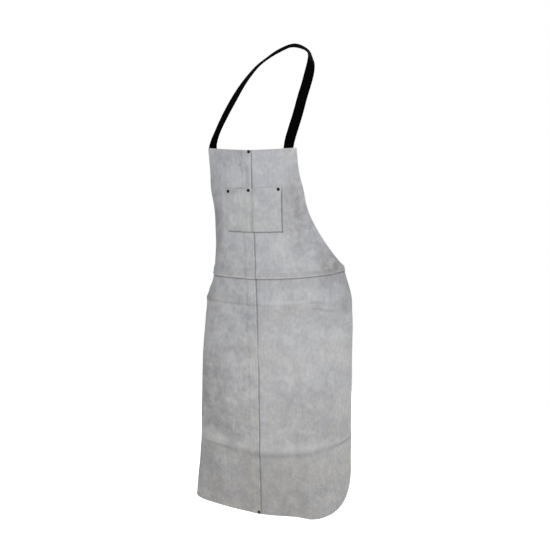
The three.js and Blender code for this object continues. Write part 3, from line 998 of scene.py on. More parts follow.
@dataclass
class Piece:
    """Something that is built as one mesh over the worn leather and dressed in one finish."""

    name: str
    slot: str
    leather: WornLeather
    made: bpy.types.Object | None = None

    def dress(self, material: bpy.types.Material, *nodes: str) -> None:
        """Give the built mesh its finish and put it on the frame.

        Args:
            material: The finish.
            nodes: CAD nodes that it stands for.
        """
        self.made.data.materials.append(material)
        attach(self.made, BODY)
        if nodes:
            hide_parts(*nodes)
        log.info("%s: %d faces", self.name, len(self.made.data.polygons))


@dataclass
class ChestPocket(Piece):
    """Patch pocket of two bellied halves, sewn at its sides, foot and divider.

    A place on it is given by u, its distance from the centre seam at the mouth, and by the share
    of the way from the sloping mouth down to the level foot, over which the sides lean to the left.
    """

    left: float = -83.0
    right: float = 89.5
    drop: float = 108.0
    rise: float = 5.0
    foot: float = 230.0
    lean: float = 5.0
    divider: float = -9.0
    bulge: float = 0.8
    bulge_run: float = 22.0
    sewn_margin: float = 13.0
    lap_ease: float = 20.0
    step: float = 2.0
    rim_insets: tuple[float, ...] = (0.0, 0.12, 0.35, 0.7, 1.4)
    sewn_insets: tuple[float, ...] = (3.5, 8.0)
    divider_half: float = 3.5
    divider_rub: Pair = (2.5, 5.5)
    groove_depth: float = 0.3
    groove_reach: float = 1.4
    cast_reach: float = 3.0
    cast_under: float = 2.0
    cast_ease: float = 6.0
    cast_start: float = 0.16
    # Painted shade along the pocket's right edge and foot and over the lap's step under it.
    edge_shade: float = 0.6
    seam_shade: float = 0.35
    seam_at: float = 4.0
    seam_reach: float = 4.0
    sewn_shine: float = 0.25
    # Painted highlight just over the mouth's lip.
    mouth_highlight: float = 1.0
    mouth_reach: float = 3.5
    hand_shine: float = 0.3
    hand_dirt: float = 0.22
    hand_reach: float = 26.0
    hand_edge: float = 12.0

    @property
    def height(self) -> float:
        """Height from the middle of the mouth to the foot."""
        return self.foot - self.drop

    def mouth(self, u: Array) -> Array:
        """Drop of the upper edge, which rises a little to the right."""
        middle = (self.left + self.right) / 2.0
        return self.drop - self.rise * (u - middle) / (self.right - self.left)

    def place(self, u: Array, share: Array) -> tuple[Array, Array]:
        """Distance from the centre seam and drop of a place on the pocket."""
        mouth = self.mouth(u)
        return u - self.lean * share, mouth + share * (self.foot - mouth)

    def inverse(self, s: Array, drop: Array) -> tuple[Array, Array]:
        """The distance at the mouth and share of the way down of a place, beyond 0 to 1 off the pocket."""
        share = (drop - self.mouth(s)) / (self.foot - self.mouth(s))
        return s + self.lean * share, share

    def inner_height(self, s: Array, drop: Array) -> Array:
        """Height of the pocket's back over the base surface: over the lapped seam, with bellied halves.

        Args:
            s: Distance from the centre seam.
            drop: Distance below the top edge.

        Returns:
            The height.
        """
        cut = self.leather
        u, share = self.inverse(s, drop)
        lap = -cut.centre_lap - cut.lap_ramp
        over = smoothstep(s, lap - self.lap_ease, lap)
        past = 1.0 - smoothstep(s, cut.seam_edge, cut.seam_edge + self.lap_ease)
        sides = np.minimum(u - self.left, self.right - u)
        sewn = np.minimum(sides, np.abs(u - self.divider))
        belly = smoothstep(sewn, self.sewn_margin, self.sewn_margin + self.bulge_run)
        open_share = smoothstep((1.0 - share) * self.height, self.sewn_margin, self.height)
        return cut.layer * (1.0 + over * past) + self.bulge * belly * open_share

    def sewn_inset(self, s: Array, drop: Array) -> Array:
        """Distance in from the nearest edge that is sewn down."""
        u = self.inverse(s, drop)[0]
        return np.minimum(np.minimum(u - self.left, self.right - u), self.foot - drop)

    def outer_height(self, s: Array, drop: Array) -> Array:
        """Height of the pocket's face over the base surface, with grooves along the sewn rows.

        Args:
            s: Distance from the centre seam.
            drop: Distance below the top edge.

        Returns:
            The height.
        """
        edge = self.sewn_inset(s, drop)
        groove = sum(hump(edge, row, self.groove_reach) for row in self.sewn_insets)
        beside = np.abs(self.inverse(s, drop)[0] - self.divider)
        groove += hump(beside, self.divider_half, self.groove_reach)
        return self.inner_height(s, drop) + self.leather.thickness - self.groove_depth * groove

    def left_half(self, u: Array) -> Array:
        """Share of a mark that belongs to the left half, eased out at the divider and the left side."""
        inward = smoothstep(u, self.left - self.hand_edge, self.left + self.hand_edge)
        return inward * (1.0 - smoothstep(u, self.divider - 2.0 * self.hand_edge, self.divider))

    def worn(self, s: Array, drop: Array) -> Array:
        """Bib paler over the pocket's mouth: a painted highlight just over the lip, which lifts the shade
        under it, and nap rubbed pale by hands further up on the left half.

        Args:
            s: Distance from the centre seam.
            drop: Distance below the top edge.

        Returns:
            The share of painted highlight and rubbed nap, from 0 to 1.
        """
        over = self.mouth(s) - drop
        above = np.maximum(over, 0.0)
        between = (s > self.left) * (s < self.right) * (over > -self.mouth_reach)
        # Painted highlight over the lip, lifting the shade that falls there.
        lip = self.mouth_highlight * hump(above, 0.0, self.mouth_reach)
        wide = self.hand_shine * hump(above, 0.0, self.hand_reach) * self.left_half(s)
        return np.maximum(lip, wide) * between

    def cast(self, s: Array, drop: Array) -> Array:
        """Painted shadow on the bib beside the pocket's right edge and under its foot, fading outwards.

        Args:
            s: Distance from the centre seam.
            drop: Distance below the top edge.

        Returns:
            The painted shadow, from 0 to 1.
        """
        u, share = self.inverse(s, drop)
        right, under = u - self.right, drop - self.foot
        beside = hump(np.maximum(right, 0.0), 0.0, self.cast_reach) * (right > -self.cast_under)
        beside *= smoothstep(share, 0.0, self.cast_start) * (under < self.cast_reach)
        start = self.left - self.cast_under
        below = hump(np.maximum(under, 0.0), 0.0, self.cast_reach) * (under > -self.cast_under)
        below *= smoothstep(u, start, start + self.cast_ease) * (right < self.cast_reach)
        return np.where((under < 0.0) & (right < 0.0), 0.0, np.maximum(beside, below))

    def build(self) -> None:
        """Make the wall between the pocket's face and its back over a grid."""
        rim, cut = np.asarray(self.rim_insets), self.leather
        count, rows = int((self.right - self.left) / self.step), int(self.height / self.step)
        across = np.linspace(self.left + rim[-1], self.right - rim[-1], count)
        columns = np.concatenate([self.left + rim[:-1], across, self.right - rim[-2::-1]])
        downs = np.linspace(rim[-1], self.height - rim[-1], rows)
        shares = np.concatenate([rim[:-1], downs, self.height - rim[-2::-1]]) / self.height
        share, u = np.meshgrid(shares, columns, indexing="ij")
        s, drop = self.place(u, share)
        over = drop - self.mouth(u)
        edge = self.sewn_inset(s, drop)
        thinner = cut.thickness / 2.0 - cut.half_thickness(np.maximum(np.minimum(edge, over), 0.0))
        outer = cut.raised(s, drop, self.outer_height(s, drop) - thinner)
        inner = cut.raised(s, drop, self.inner_height(s, drop) + thinner)
        rub = smoothstep(-edge, -self.sewn_insets[-1], -self.sewn_insets[0])
        rub += 1.0 - smoothstep(np.abs(u - self.divider), *self.divider_rub)
        # Painted shade along the lap's step under the pocket and along its right edge and foot.
        soil = self.seam_shade * hump(u, self.seam_at, self.seam_reach)
        soil += self.edge_shade * hump(np.minimum(self.right - u, self.foot - drop), 0.0, cut.raw_reach)
        stain = self.hand_dirt * hump(over, 0.0, self.hand_reach) * self.left_half(u)
        raw = hump(over, 0.0, cut.raw_reach)
        marks = {"raw": raw, "rub": self.sewn_shine * rub, "soil": soil, "stain": stain}
        both = {key: [value, value] for key, value in marks.items()}
        self.made = wall_object(self.name, (s, drop), [outer, inner], both)


@dataclass
class LeatherPanel(Piece):
    """One half of the bib or the skirt, a leather wall with lapped and raw edges."""

    side: Side = Side.LEFT
    tier: Tier = Tier.BIB
    pocket: ChestPocket | None = None
    step: float = 3.0
    fine_step: float = 1.25
    seam_step: float = 0.8
    seam_run: float = 9.0
    rim_insets: tuple[float, ...] = (0.0, 0.12, 0.35, 0.7, 1.6)
    corner_rows: int = 30
    centre_rows: tuple[float, ...] = (-7.0, -17.0)
    waist_rows: tuple[float, ...] = (6.0, 15.0)
    groove_depth: float = 0.35
    groove_reach: float = 1.5
    ridge_height: float = 0.5
    ridge_inset: float = 3.2
    ridge_reach: float = 2.6
    # Painted shade in lines beside the lapped edges: where it lies and how far it reaches.
    shade_at: float = 1.8
    shade_reach: float = 2.2
    # Painted highlights on the ridges of the centre and waist laps, stronger above the pocket.
    seam_highlight: dict[Tier, float] = field(default_factory=lambda: {Tier.BIB: 0.2, Tier.SKIRT: 0.05})
    waist_highlight: float = 0.45
    top_highlight: float = 0.7
    # Painted shadow of the centre lap's edge and under the waist lap, fading in a band and towards the hem.
    seam_shade: float = 0.7
    hem_fade: float = 0.25
    hem_fade_start: float = 1000.0
    waist_shade: float = 0.75
    faint_seam: Pair = (545.0, 620.0)
    faint_share: float = 0.85
    beside: Array = field(default_factory=lambda: np.arange(-7.0, 9.0, 0.9))
    inner_marks: dict[str, float] = field(default_factory=lambda: {"raw": 1.0, "stain": 0.5})

    def drops(self) -> Array:
        """Rows of the grid, closer at the edges, the lap and the rounded hem corner.

        Returns:
            Distances below the top edge, from the panel's top to its foot.
        """
        cut, rim, seam = self.leather, np.asarray(self.rim_insets), self.leather.waist_seam_drop
        lap_top = seam - cut.waist_lap
        if self.tier is Tier.BIB:
            body = np.arange(rim[-1] + self.step, lap_top - cut.lap_ramp, self.step)
            foot = self.pocket.foot + self.beside
            body = np.concatenate([body[body < foot[0]], foot, body[body > foot[-1]]])
            lap = np.arange(lap_top - cut.lap_ramp, seam - rim[-1], self.fine_step)
            return np.concatenate([rim, body, lap, seam - rim[::-1]])
        lap = np.arange(lap_top + rim[-1] + self.step, seam - self.fine_step, self.step)
        under = np.arange(seam - self.fine_step, seam + self.seam_run, self.seam_step)
        corner_top = cut.length - cut.hem_corner_radius
        body = np.arange(under[-1] + self.step, corner_top - self.step / 2, self.step)
        angles = np.linspace(0.0, math.pi / 2.0, self.corner_rows + 1)
        corner = cut.length - cut.hem_corner_radius * (1.0 - np.sin(angles))
        return np.concatenate([lap_top + rim, lap, under, body, corner])

    def columns(self, drops: Array) -> Array:
        """Distance from the seam of every grid point: fixed beside the seam, then even to the cut edge.

        Args:
            drops: Rows of the grid.

        Returns:
            A grid of distances, signed by side.
        """
        cut, rim = self.leather, np.asarray(self.rim_insets)
        if self.side is Side.LEFT:
            lap = np.arange(rim[-1] + self.fine_step, cut.centre_lap + cut.lap_ramp, self.fine_step)
            fixed = np.concatenate([rim, lap])
        else:
            under = np.arange(rim[-1] + self.step, cut.centre_lap, self.step) - cut.centre_lap
            seam = np.arange(0.0, cut.seam_edge + cut.lap_ramp, self.seam_step)
            fixed = np.concatenate([rim - cut.centre_lap, under, seam])
            if self.tier is Tier.BIB:
                edge = self.pocket.right - self.pocket.lean / 2.0 + self.beside
                fixed = np.concatenate([fixed, np.arange(fixed[-1] + self.step, edge[0], self.step), edge])
        start = fixed[-1]
        edge = cut.half_width_at(drops)[:, None]
        count = int((cut.half_width - start) / self.step)
        middle = start + (edge - rim[-1] - start) * np.arange(1, count + 1) / count
        beside = np.broadcast_to(fixed, (len(drops), len(fixed)))
        return self.side.value * np.concatenate([beside, middle, edge - rim[-2::-1]], axis=1)

    def inner_height(self, s: Array, drop: Array) -> Array:
        """Height of the panel's inner face over the base surface: a layer for each that it laps.

        Args:
            s: Distance from the centre seam.
            drop: Distance below the top edge.

        Returns:
            The height.
        """
        cut, left = self.leather, self.side is Side.LEFT
        layers = cut.over_centre(s) if left else np.zeros_like(s)
        if self.tier is Tier.BIB:
            beside = layers if left else cut.beside_centre(s)
            layers = cut.over_waist(drop) * (1.0 + beside) + layers
        return layers * cut.layer

    def sewn_relief(self, s: Array, drop: Array) -> Array:
        """Grooves along the sewn rows, and the free lip of each lap standing a little proud.

        Args:
            s: Distance from the centre seam.
            drop: Distance below the top edge.

        Returns:
            The height added to the outer face.
        """
        height = np.zeros(np.broadcast(s, drop).shape)
        laps = []
        if self.side is Side.LEFT:
            laps.append((-s, [-row for row in self.centre_rows]))
        if self.tier is Tier.BIB:
            laps.append((self.leather.waist_seam_drop - drop, self.waist_rows))
        for inset, rows in laps:
            height += self.ridge_height * hump(inset, self.ridge_inset, self.ridge_reach)
            height -= self.groove_depth * sum(hump(inset, row, self.groove_reach) for row in rows)
        return height

    def outer_height(self, s: Array, drop: Array) -> Array:
        """Height of the panel's outer face over the base surface."""
        return self.inner_height(s, drop) + self.leather.thickness + self.sewn_relief(s, drop)

    def marks(self, s: Array, drop: Array) -> dict[str, Array]:
        """Where the leather is raw, rubbed pale and painted with highlights, darkened in lines of painted
        shade, and darkened in patches of painted shade and uneven tone.

        Args:
            s: Distance from the centre seam.
            drop: Distance below the top edge.

        Returns:
            The four marks by name, from 0 to 1.
        """
        cut, seam = self.leather, self.leather.waist_seam_drop
        raw = hump(np.maximum(cut.edge_distance(s, drop), 0.0), 0.0, cut.raw_reach)
        level = [fold for fold in cut.folds if fold.run is Run.LEVEL]
        # Painted highlights on the crests and painted shade in the troughs of the level folds.
        rub = sum(fold.crest_highlight_at(s, drop) for fold in level)
        soil = sum(fold.shade_at(s, drop) for fold in level)
        if self.side is Side.LEFT:
            # Painted highlight on the ridge of the centre lap.
            ridge_highlight = self.seam_highlight[self.tier] + self.top_highlight * (drop < self.pocket.drop)
            rub += ridge_highlight * hump(s, -self.ridge_inset, self.ridge_reach)
        else:
            start, end = self.faint_seam
            faint = self.faint_share * hump(drop, (start + end) / 2.0, (end - start) / 2.0)
            faint += self.hem_fade * smoothstep(drop, self.hem_fade_start, cut.length)
            # Painted shadow of the centre lap's edge, fainter in a band and towards the hem.
            soil += self.seam_shade * (1.0 - faint) * hump(s, self.shade_at, self.shade_reach)
        if self.tier is Tier.BIB:
            # Painted highlight on the ridge of the waist lap.
            rub += self.waist_highlight * hump(drop, seam - self.ridge_inset, self.ridge_reach)
            # Painted highlight over the pocket's mouth with rubbed nap, and painted shadow beside and under
            # the pocket.
            rub += self.pocket.worn(s, drop)
            soil += self.pocket.cast(s, drop)
        else:
            # Painted shadow under the bib's lap at the waist.
            soil += self.waist_shade * hump(drop, seam + self.shade_at, self.shade_reach)
        # Patches of painted shade and uneven tone.
        stain = sum(tone.at(s, drop) for tone in TONES)
        marks = {"raw": raw, "rub": rub, "soil": soil, "stain": stain}
        return {key: np.clip(value, 0.0, 1.0) for key, value in marks.items()}

    def build(self) -> None:
        """Make the wall between the outer and inner face of a grid over the leather."""
        cut, drops = self.leather, self.drops()
        s = self.columns(drops)
        drop = np.broadcast_to(drops[:, None], s.shape)
        inner_edge = np.abs(s if self.side is Side.LEFT else s + cut.centre_lap)
        seam = cut.waist_seam_drop - drop
        if self.tier is Tier.SKIRT:
            seam = cut.waist_lap - seam
        inset = np.minimum(np.minimum(cut.edge_distance(s, drop), inner_edge), seam)
        half = cut.half_thickness(np.maximum(inset, 0.0))
        middle = self.inner_height(s, drop) + cut.thickness / 2.0
        outer = cut.raised(s, drop, middle + half + self.sewn_relief(s, drop))
        inner = cut.raised(s, drop, middle - half)
        # The left grid runs the other way, so its two skins change places.
        order = self.side.value
        marks = {
            key: [value, self.inner_marks.get(key, 0.0) * value][::order]
            for key, value in self.marks(s, drop).items()
        }
        self.made = wall_object(self.name, (s, drop), [outer, inner][::order], marks)


@dataclass(frozen=True)
class StrapRow:
    """A place on the strap's route: height over the bib's top edge, sideways shift of both legs, their
    distance from the middle, distance behind the top edge, the way the right leg's outer face looks,
    and how far the left and the right leg are twisted out of it, in degrees."""

    above: float
    shift: float
    half: float
    back: float
    face: Triple
    left_twist: float = 0.0
    right_twist: float = 0.0

    def on_leg(self, side: Side) -> tuple[Triple, Triple, float]:
        """Place over the top edge's middle, face and twist of one leg."""
        across, twist = self.face[0] * side.value, self.left_twist if side is Side.LEFT else self.right_twist
        return (self.shift + side.value * self.half, self.back, self.above), (across, *self.face[1:]), twist


@dataclass
class NeckStrap(Piece):
    """Webbing strap from behind one top corner of the bib, round the neck, to the other."""

    width: float = 28.5
    thickness: float = 2.2
    sewn_length: float = 34.0
    sewn_top: float = 12.0
    sewn_spots: dict[Side, float] = field(default_factory=lambda: {Side.LEFT: -126.0, Side.RIGHT: 113.0})
    sewn_rows: int = 2
    samples_per_row: int = 14
    flat_columns: int = 15
    edge_columns: int = 7
    selvedge_inset: float = 2.6
    selvedge_dip: float = 0.16
    selvedge_reach: float = 0.8
    nape_face: Triple = (0.0, -0.48, 0.88)
    length: float = 0.0
    route: tuple[StrapRow, ...] = (
        StrapRow(8, -7, 121, 8.8, (0.15, -1.0, 0.1)),
        StrapRow(28, -4.5, 121, 12.5, (0.31, -0.95, 0.25)),
        StrapRow(56, -0.5, 120, 25, (0.36, -0.88, 0.4)),
        StrapRow(100, 1.5, 117, 57, (0.36, -0.75, 0.6), 6, 0),
        StrapRow(150, 1.5, 111, 99, (0.36, -0.7, 0.65), 8, 0),
        StrapRow(200, 2.5, 104, 144, (0.36, -0.6, 0.75), 2, 4),
        StrapRow(250, 3.5, 90, 195, (0.42, -0.3, 0.85), 8, 25),
        StrapRow(280, 3.5, 71, 231, (0.4, 0.05, 0.9), 26, 25),
        StrapRow(305, 2.5, 40, 256, (0.25, 0.3, 0.9), 50, -25),
    )

    @property
    def behind(self) -> float:
        """Height of the sewn ends' middle line over the leather's base surface."""
        return -(2.0 * self.leather.gap + self.thickness / 2.0)

    def leg(self, side: Side) -> tuple[Array, Array]:
        """Places and faces of one leg, from its sewn end up.

        Args:
            side: Which leg.

        Returns:
            The places and the directions that the outer face looks there.
        """
        cut = self.leather
        drops = np.linspace(self.sewn_length, self.sewn_top, self.sewn_rows + 1)
        spot = np.full_like(drops, self.sewn_spots[side])
        place, face, twist = (np.array(column) for column in zip(*(row.on_leg(side) for row in self.route)))
        free = place + np.array([0.0, cut.bib_top_back, cut.bib_top_height])
        axis = unit(np.gradient(free, axis=0))
        face, angle = unit(face), np.radians(twist)[:, None]
        face = face * np.cos(angle) + np.cross(axis, face) * np.sin(angle)
        places = np.concatenate([cut.raised(spot, drops, self.behind), free])
        return places, np.concatenate([cut.normal(spot, drops), face])

    def smooth(self, rows: Array) -> Array:
        """An even curve through rows, cubic between them, whose slope at each is half the span of the
        rows on either side.

        Args:
            rows: What the curve passes, one row each.

        Returns:
            Samples of the curve.
        """
        ends = np.concatenate([[2.0 * rows[0] - rows[1]], rows, [2.0 * rows[-1] - rows[-2]]])
        slope = (ends[2:] - ends[:-2]) / 2.0
        at = np.linspace(0.0, len(rows) - 1.0, (len(rows) - 1) * self.samples_per_row + 1)
        i = np.minimum(at.astype(int), len(rows) - 2)
        return cubic((at - i)[:, None], rows[i], rows[i + 1], slope[i], slope[i + 1])

    def profile(self) -> Array:
        """Section of the tape: flat faces that dip in a bell beside the selvedge, and half-round edges.

        Returns:
            Distance across and height of each point of the section, once round it.
        """
        radius = self.thickness / 2.0
        reach = self.width / 2.0 - radius
        across = np.linspace(reach, -reach, self.flat_columns)
        selvedge = self.width / 2.0 - self.selvedge_inset
        dip = self.selvedge_dip * hump(np.abs(across), selvedge, self.selvedge_reach)
        angle = np.linspace(0.0, math.pi, self.edge_columns + 2)[1:-1]
        left = np.stack([-reach - radius * np.sin(angle), radius * np.cos(angle)], axis=-1)
        upper = np.stack([across, radius - dip], axis=-1)
        return np.concatenate([upper, left, -upper, -left])

    def build(self) -> None:
        """Carry the section along the route, square to it and turned to face as the rows say."""
        nape = unit(np.array(self.nape_face))[None]
        left, right = self.leg(Side.LEFT), self.leg(Side.RIGHT)
        line = self.smooth(np.concatenate([left[0], nape * self.thickness / 2.0, right[0][::-1]]))
        out = self.smooth(np.concatenate([left[1], nape, right[1][::-1]]))
        along = unit(np.gradient(line, axis=0))
        out = unit(out - (out * along).sum(axis=1, keepdims=True) * along)
        section = self.profile()
        spread = np.cross(along, out)[:, None] * section[None, :, :1] + out[:, None] * section[None, :, 1:]
        points = line[:, None] + spread
        rings, sides = points.shape[:2]
        run = np.concatenate([[0.0], np.cumsum(np.linalg.norm(np.diff(line, axis=0), axis=1))])
        step = np.linalg.norm(section - np.roll(section, 1, axis=0), axis=1)
        girth = np.cumsum(step) - step[0]
        uv = np.stack(np.broadcast_arrays(girth[None, :], run[:, None]), axis=-1).reshape(-1, 2)
        last = (rings - 1) * sides
        caps = [list(range(sides - 1, -1, -1)), list(range(last, last + sides))]
        faces = tube_faces(rings, sides).tolist() + caps
        self.made = mesh_object(self.name, points.reshape(-1, 3), faces, uv * MM)
        self.length = float(run[-1])


@dataclass
class Rivet(Piece):
    """Domed cap, shank and flat back cap through the leather."""

    s: float = 0.0
    drop: float = 0.0
    leathers: int = 2
    seat: float = 0.0
    cap_radius: float = 4.6
    cap_height: float = 2.0
    shank_radius: float = 1.75
    back_radius: float = 3.8
    back_height: float = 1.0
    back_flat: float = 2.09
    rim_share: float = 0.25
    scuff_share: float = 0.5
    lip: float = 0.25
    sides: int = 32
    dome_rows: int = 9

    def profile(self) -> Array:
        """Radius and height of the turned section, from the back's middle to the crown.

        Returns:
            Points of the section off the axis.
        """
        gap, lip = self.leather.gap, self.lip
        foot = -self.leathers * self.leather.layer
        base = foot - self.back_height
        angle = np.linspace(0.0, math.pi / 2.0, self.dome_rows + 1)[:-1]
        rim = gap + self.cap_height * self.rim_share
        dome = self.cap_height * (1.0 - self.rim_share)
        back = [
            (self.back_flat, base),
            (self.back_radius - lip, base),
            (self.back_radius, base + lip),
            (self.back_radius, foot - lip),
            (self.back_radius - lip, foot),
            (self.shank_radius, foot),
            (self.shank_radius, gap),
            (self.cap_radius - lip, gap),
            (self.cap_radius, gap + lip),
        ]
        crown = np.stack([self.cap_radius * np.cos(angle), rim + dome * np.sin(angle)], axis=-1)
        return np.concatenate([np.asarray(back), crown])

    def build(self) -> None:
        """Turn the section about the leather's normal, with a single point at each pole."""
        section, cut = self.profile(), self.leather
        turn = np.linspace(0.0, 2.0 * math.pi, self.sides, endpoint=False)
        up = cut.normal(self.s, self.drop)
        beside = cut.along(self.s, self.drop, 1.0, 0.0)
        x = unit(beside - up * np.dot(beside, up))
        ring = np.cos(turn)[:, None] * x + np.sin(turn)[:, None] * np.cross(up, x)
        seat = cut.raised(self.s, self.drop, self.seat)
        rings = seat + section[:, None, :1] * ring[None] + section[:, None, 1:] * up
        poles = np.array([section[0, 1], cut.gap + self.cap_height])
        places = np.concatenate([rings.reshape(-1, 3), seat + up * poles[:, None]])
        shape = (len(section), self.sides)
        faces = tube_faces(*shape).tolist() + tip_faces(*shape).tolist()
        heights = np.concatenate([np.repeat(section[:, 1], self.sides), poles]) - cut.gap
        crown = smoothstep(heights, self.scuff_share * self.cap_height, self.cap_height)
        self.made = mesh_object(self.name, places, faces, None, {"crown": crown})


@dataclass(frozen=True)
class SewnRow:
    """A straight row of stitches over the leather, with the faces that it lies on."""

    start: Pair
    end: Pair
    front: Callable[[Array, Array], Array]
    back: Callable[[Array, Array], Array]


@dataclass
class Stitching(Piece):
    """Rows of stitches, seen on the front and again on the back."""

    rows: tuple[SewnRow, ...] = ()
    pitch: float = 5.6
    length: float = 4.3
    radius: float = 0.42
    arch: float = 0.4
    sides: int = 6
    ring_places: tuple[float, ...] = (-0.72, 0.0, 0.72)
    ring_sizes: tuple[float, ...] = (0.85, 1.0, 0.85)

    def template(self) -> tuple[Array, Array]:
        """One stitch arched as a parabola, as thick in the middle as the thread and pointed at its ends.

        Returns:
            Its points along, beside and above the row, and its pattern coordinates.
        """
        turn = np.linspace(0.0, 2.0 * math.pi, self.sides, endpoint=False) - math.pi / 2.0
        at = np.asarray(self.ring_places)[:, None]
        size = self.radius * np.asarray(self.ring_sizes)[:, None]
        along = at * self.length / 2.0
        above = size * np.sin(turn) + self.arch * (1.0 - 2.0 * at * at)
        rings = np.stack(np.broadcast_arrays(along, size * np.cos(turn), above), axis=-1)
        tips = [[end * self.length / 2.0, 0.0, -self.arch] for end in (-1.0, 1.0)]
        uv = np.stack(np.broadcast_arrays((at + 1.0) / 2.0, turn / (2.0 * math.pi)), axis=-1)
        uv = np.concatenate([uv.reshape(-1, 2), [[0.0, 0.0], [1.0, 0.0]]])
        return np.concatenate([rings.reshape(-1, 3), tips]), uv

    def frames(self, row: SewnRow) -> tuple[Array, Array, Array, Array]:
        """Middle and three directions of every stitch of a row, front and back.

        Args:
            row: The row.

        Returns:
            Middles, directions along the row, beside it and out of the leather.
        """
        start, end = np.asarray(row.start), np.asarray(row.end)
        distance = np.linalg.norm(end - start)
        count = max(int(distance / self.pitch), 1)
        share = (np.arange(count) + 0.5) / count
        s, drop = (start + (end - start) * share[:, None]).T
        along = unit(self.leather.along(s, drop, *((end - start) / distance)))
        out = self.leather.normal(s, drop)
        beside = np.cross(out, along)
        middles = [self.leather.raised(s, drop, face(s, drop)) for face in (row.front, row.back)]
        pairs = (middles, [along, along], [beside, -beside], [out, -out])
        return tuple(np.concatenate(pair) for pair in pairs)

    def build(self) -> None:
        """Copy the template onto every stitch as one joined mesh."""
        points, uv = self.template()
        shape = (len(self.ring_places), self.sides)
        parts = [self.frames(row) for row in self.rows]
        middle, along, beside, out = (np.concatenate(group) for group in zip(*parts))
        spread = np.einsum("pk,knc->npc", points, np.stack([along, beside, out]))
        places = (middle[:, None] + spread).reshape(-1, 3)
        first = np.arange(len(middle))[:, None, None] * len(points)
        faces = (tube_faces(*shape)[None] + first).reshape(-1, 4).tolist()
        faces += (tip_faces(*shape)[None] + first).reshape(-1, 3).tolist()
        self.made = mesh_object(self.name, places, faces, np.tile(uv, (len(middle), 1)))


@dataclass(frozen=True)
class Softbox:
    """A square studio light."""

    name: str
    place: Triple
    size: float
    power: float

    def build(self, aim: Triple) -> None:
        """Hang the light so that it faces a point.

        Args:
            aim: The point, in metres.
        """
        data = bpy.data.lights.new(self.name, "AREA")
        data.shape = "SQUARE"
        data.size = self.size
        data.energy = self.power
        aimed_object(self.name, data, self.place, aim)


@dataclass(frozen=True)
class Studio:
    """Pale floor, soft light all round and the camera, in metres."""

    eye: Triple = (1.3133, -2.6789, -0.397)
    aim: Triple = (0.0358, -0.1869, -0.674)
    lens: float = 63.8
    sensor: float = 36.0
    floor_height: float = -1.75
    floor_half: float = 3.0
    floor_steps: int = 8
    backdrop: float = 1.0
    surround: float = 0.2
    boxes: tuple[Softbox, ...] = (
        Softbox("key_light", (1.9, -2.6, 0.5), 1.3, 60.0),
        Softbox("back_light", (-0.6, 3.0, 0.6), 2.0, 30.0),
        Softbox("top_light", (0.0, -0.2, 3.0), 8.0, 165.0),
    )

    def floor(self) -> None:
        """A flat grid of two even parameters."""
        line = np.linspace(-self.floor_half, self.floor_half, self.floor_steps) / MM
        y, x = np.meshgrid(line, line, indexing="ij")
        places = np.stack([x, y, np.full_like(x, self.floor_height / MM)], axis=-1).reshape(-1, 3)
        index = np.arange(x.size).reshape(x.shape)
        corners = [index[:-1, :-1], index[:-1, 1:], index[1:, 1:], index[1:, :-1]]
        made = mesh_object("studio_floor", places, np.stack(corners, axis=-1).reshape(-1, 4).tolist())
        made.data.materials.append(FloorFinish().material())

    def light(self) -> None:
        """A soft white surround, which the camera sees as white paper, and the softboxes."""
        world = bpy.data.worlds.new("soft_surround")
        world.use_nodes = True
        nodes, links = world.node_tree.nodes, world.node_tree.links
        shade, paper = nodes["Background"], nodes.new("ShaderNodeBackground")
        choice = nodes.new("ShaderNodeMixShader")
        for slot, (node, strength) in enumerate(((shade, self.surround), (paper, self.backdrop)), 1):
            node.inputs["Color"].default_value = (*WHITE, 1.0)
            node.inputs["Strength"].default_value = strength
            links.new(node.outputs[0], choice.inputs[slot])
        links.new(nodes.new("ShaderNodeLightPath").outputs["Is Camera Ray"], choice.inputs["Fac"])
        links.new(choice.outputs[0], nodes["World Output"].inputs["Surface"])
        bpy.context.scene.world = world
        for box in self.boxes:
            box.build(self.aim)

    def camera(self) -> None:
        """The photograph's place and lens."""
        data = bpy.data.cameras.new("photo_camera")
        data.lens = self.lens
        data.sensor_width = self.sensor
        bpy.context.scene.camera = aimed_object("photo_camera", data, self.eye, self.aim)

    def build(self) -> None:
        """Set the whole stage, with display colours taken as they are."""
        self.floor()
        self.light()
        self.camera()
        bpy.context.scene.view_settings.view_transform = "Standard"


@dataclass(frozen=True)
class PanelCut:
    """One panel: where it lies, the shift of its nap's pattern, its flat size and area in metres, and the
    contrast of its clouds and streaks."""

    tier: Tier
    side: Side
    offset: Triple
    flat: Pair
    area: float
    contrast: Pair


@dataclass(frozen=True)
class RivetSpot:
    """One rivet: its place on the leather, the leathers that it holds, and whether the pocket is one."""

    name: str
    s: float
    drop: float
    leathers: int
    on_pocket: bool


PANELS = (
    PanelCut(Tier.BIB, Side.LEFT, (0.13, 0.7, 0.21), (0.287, 0.365), 0.0694, (1.35, 1.12)),
    PanelCut(Tier.BIB, Side.RIGHT, (1.71, 0.2, 0.43), (0.311, 0.365), 0.0773, (0.72, 1.0)),
    PanelCut(Tier.SKIRT, Side.LEFT, (0.62, 1.4, 0.05), (0.305, 0.723), 0.2182, (1.35, 1.12)),
    PanelCut(Tier.SKIRT, Side.RIGHT, (2.33, 0.9, 0.77), (0.329, 0.723), 0.2370, (0.72, 1.0)),
)
RIVETS = (
    RivetSpot("bib_top", -4.8, 5.2, 2, False),
    RivetSpot("pocket_left", -77.7, 116.9, 2, True),
    RivetSpot("pocket_middle", -8.3, 112.9, 3, True),
    RivetSpot("pocket_right", 81.3, 111.3, 2, True),
    RivetSpot("hem", -4.8, 1061.0, 2, False),
)


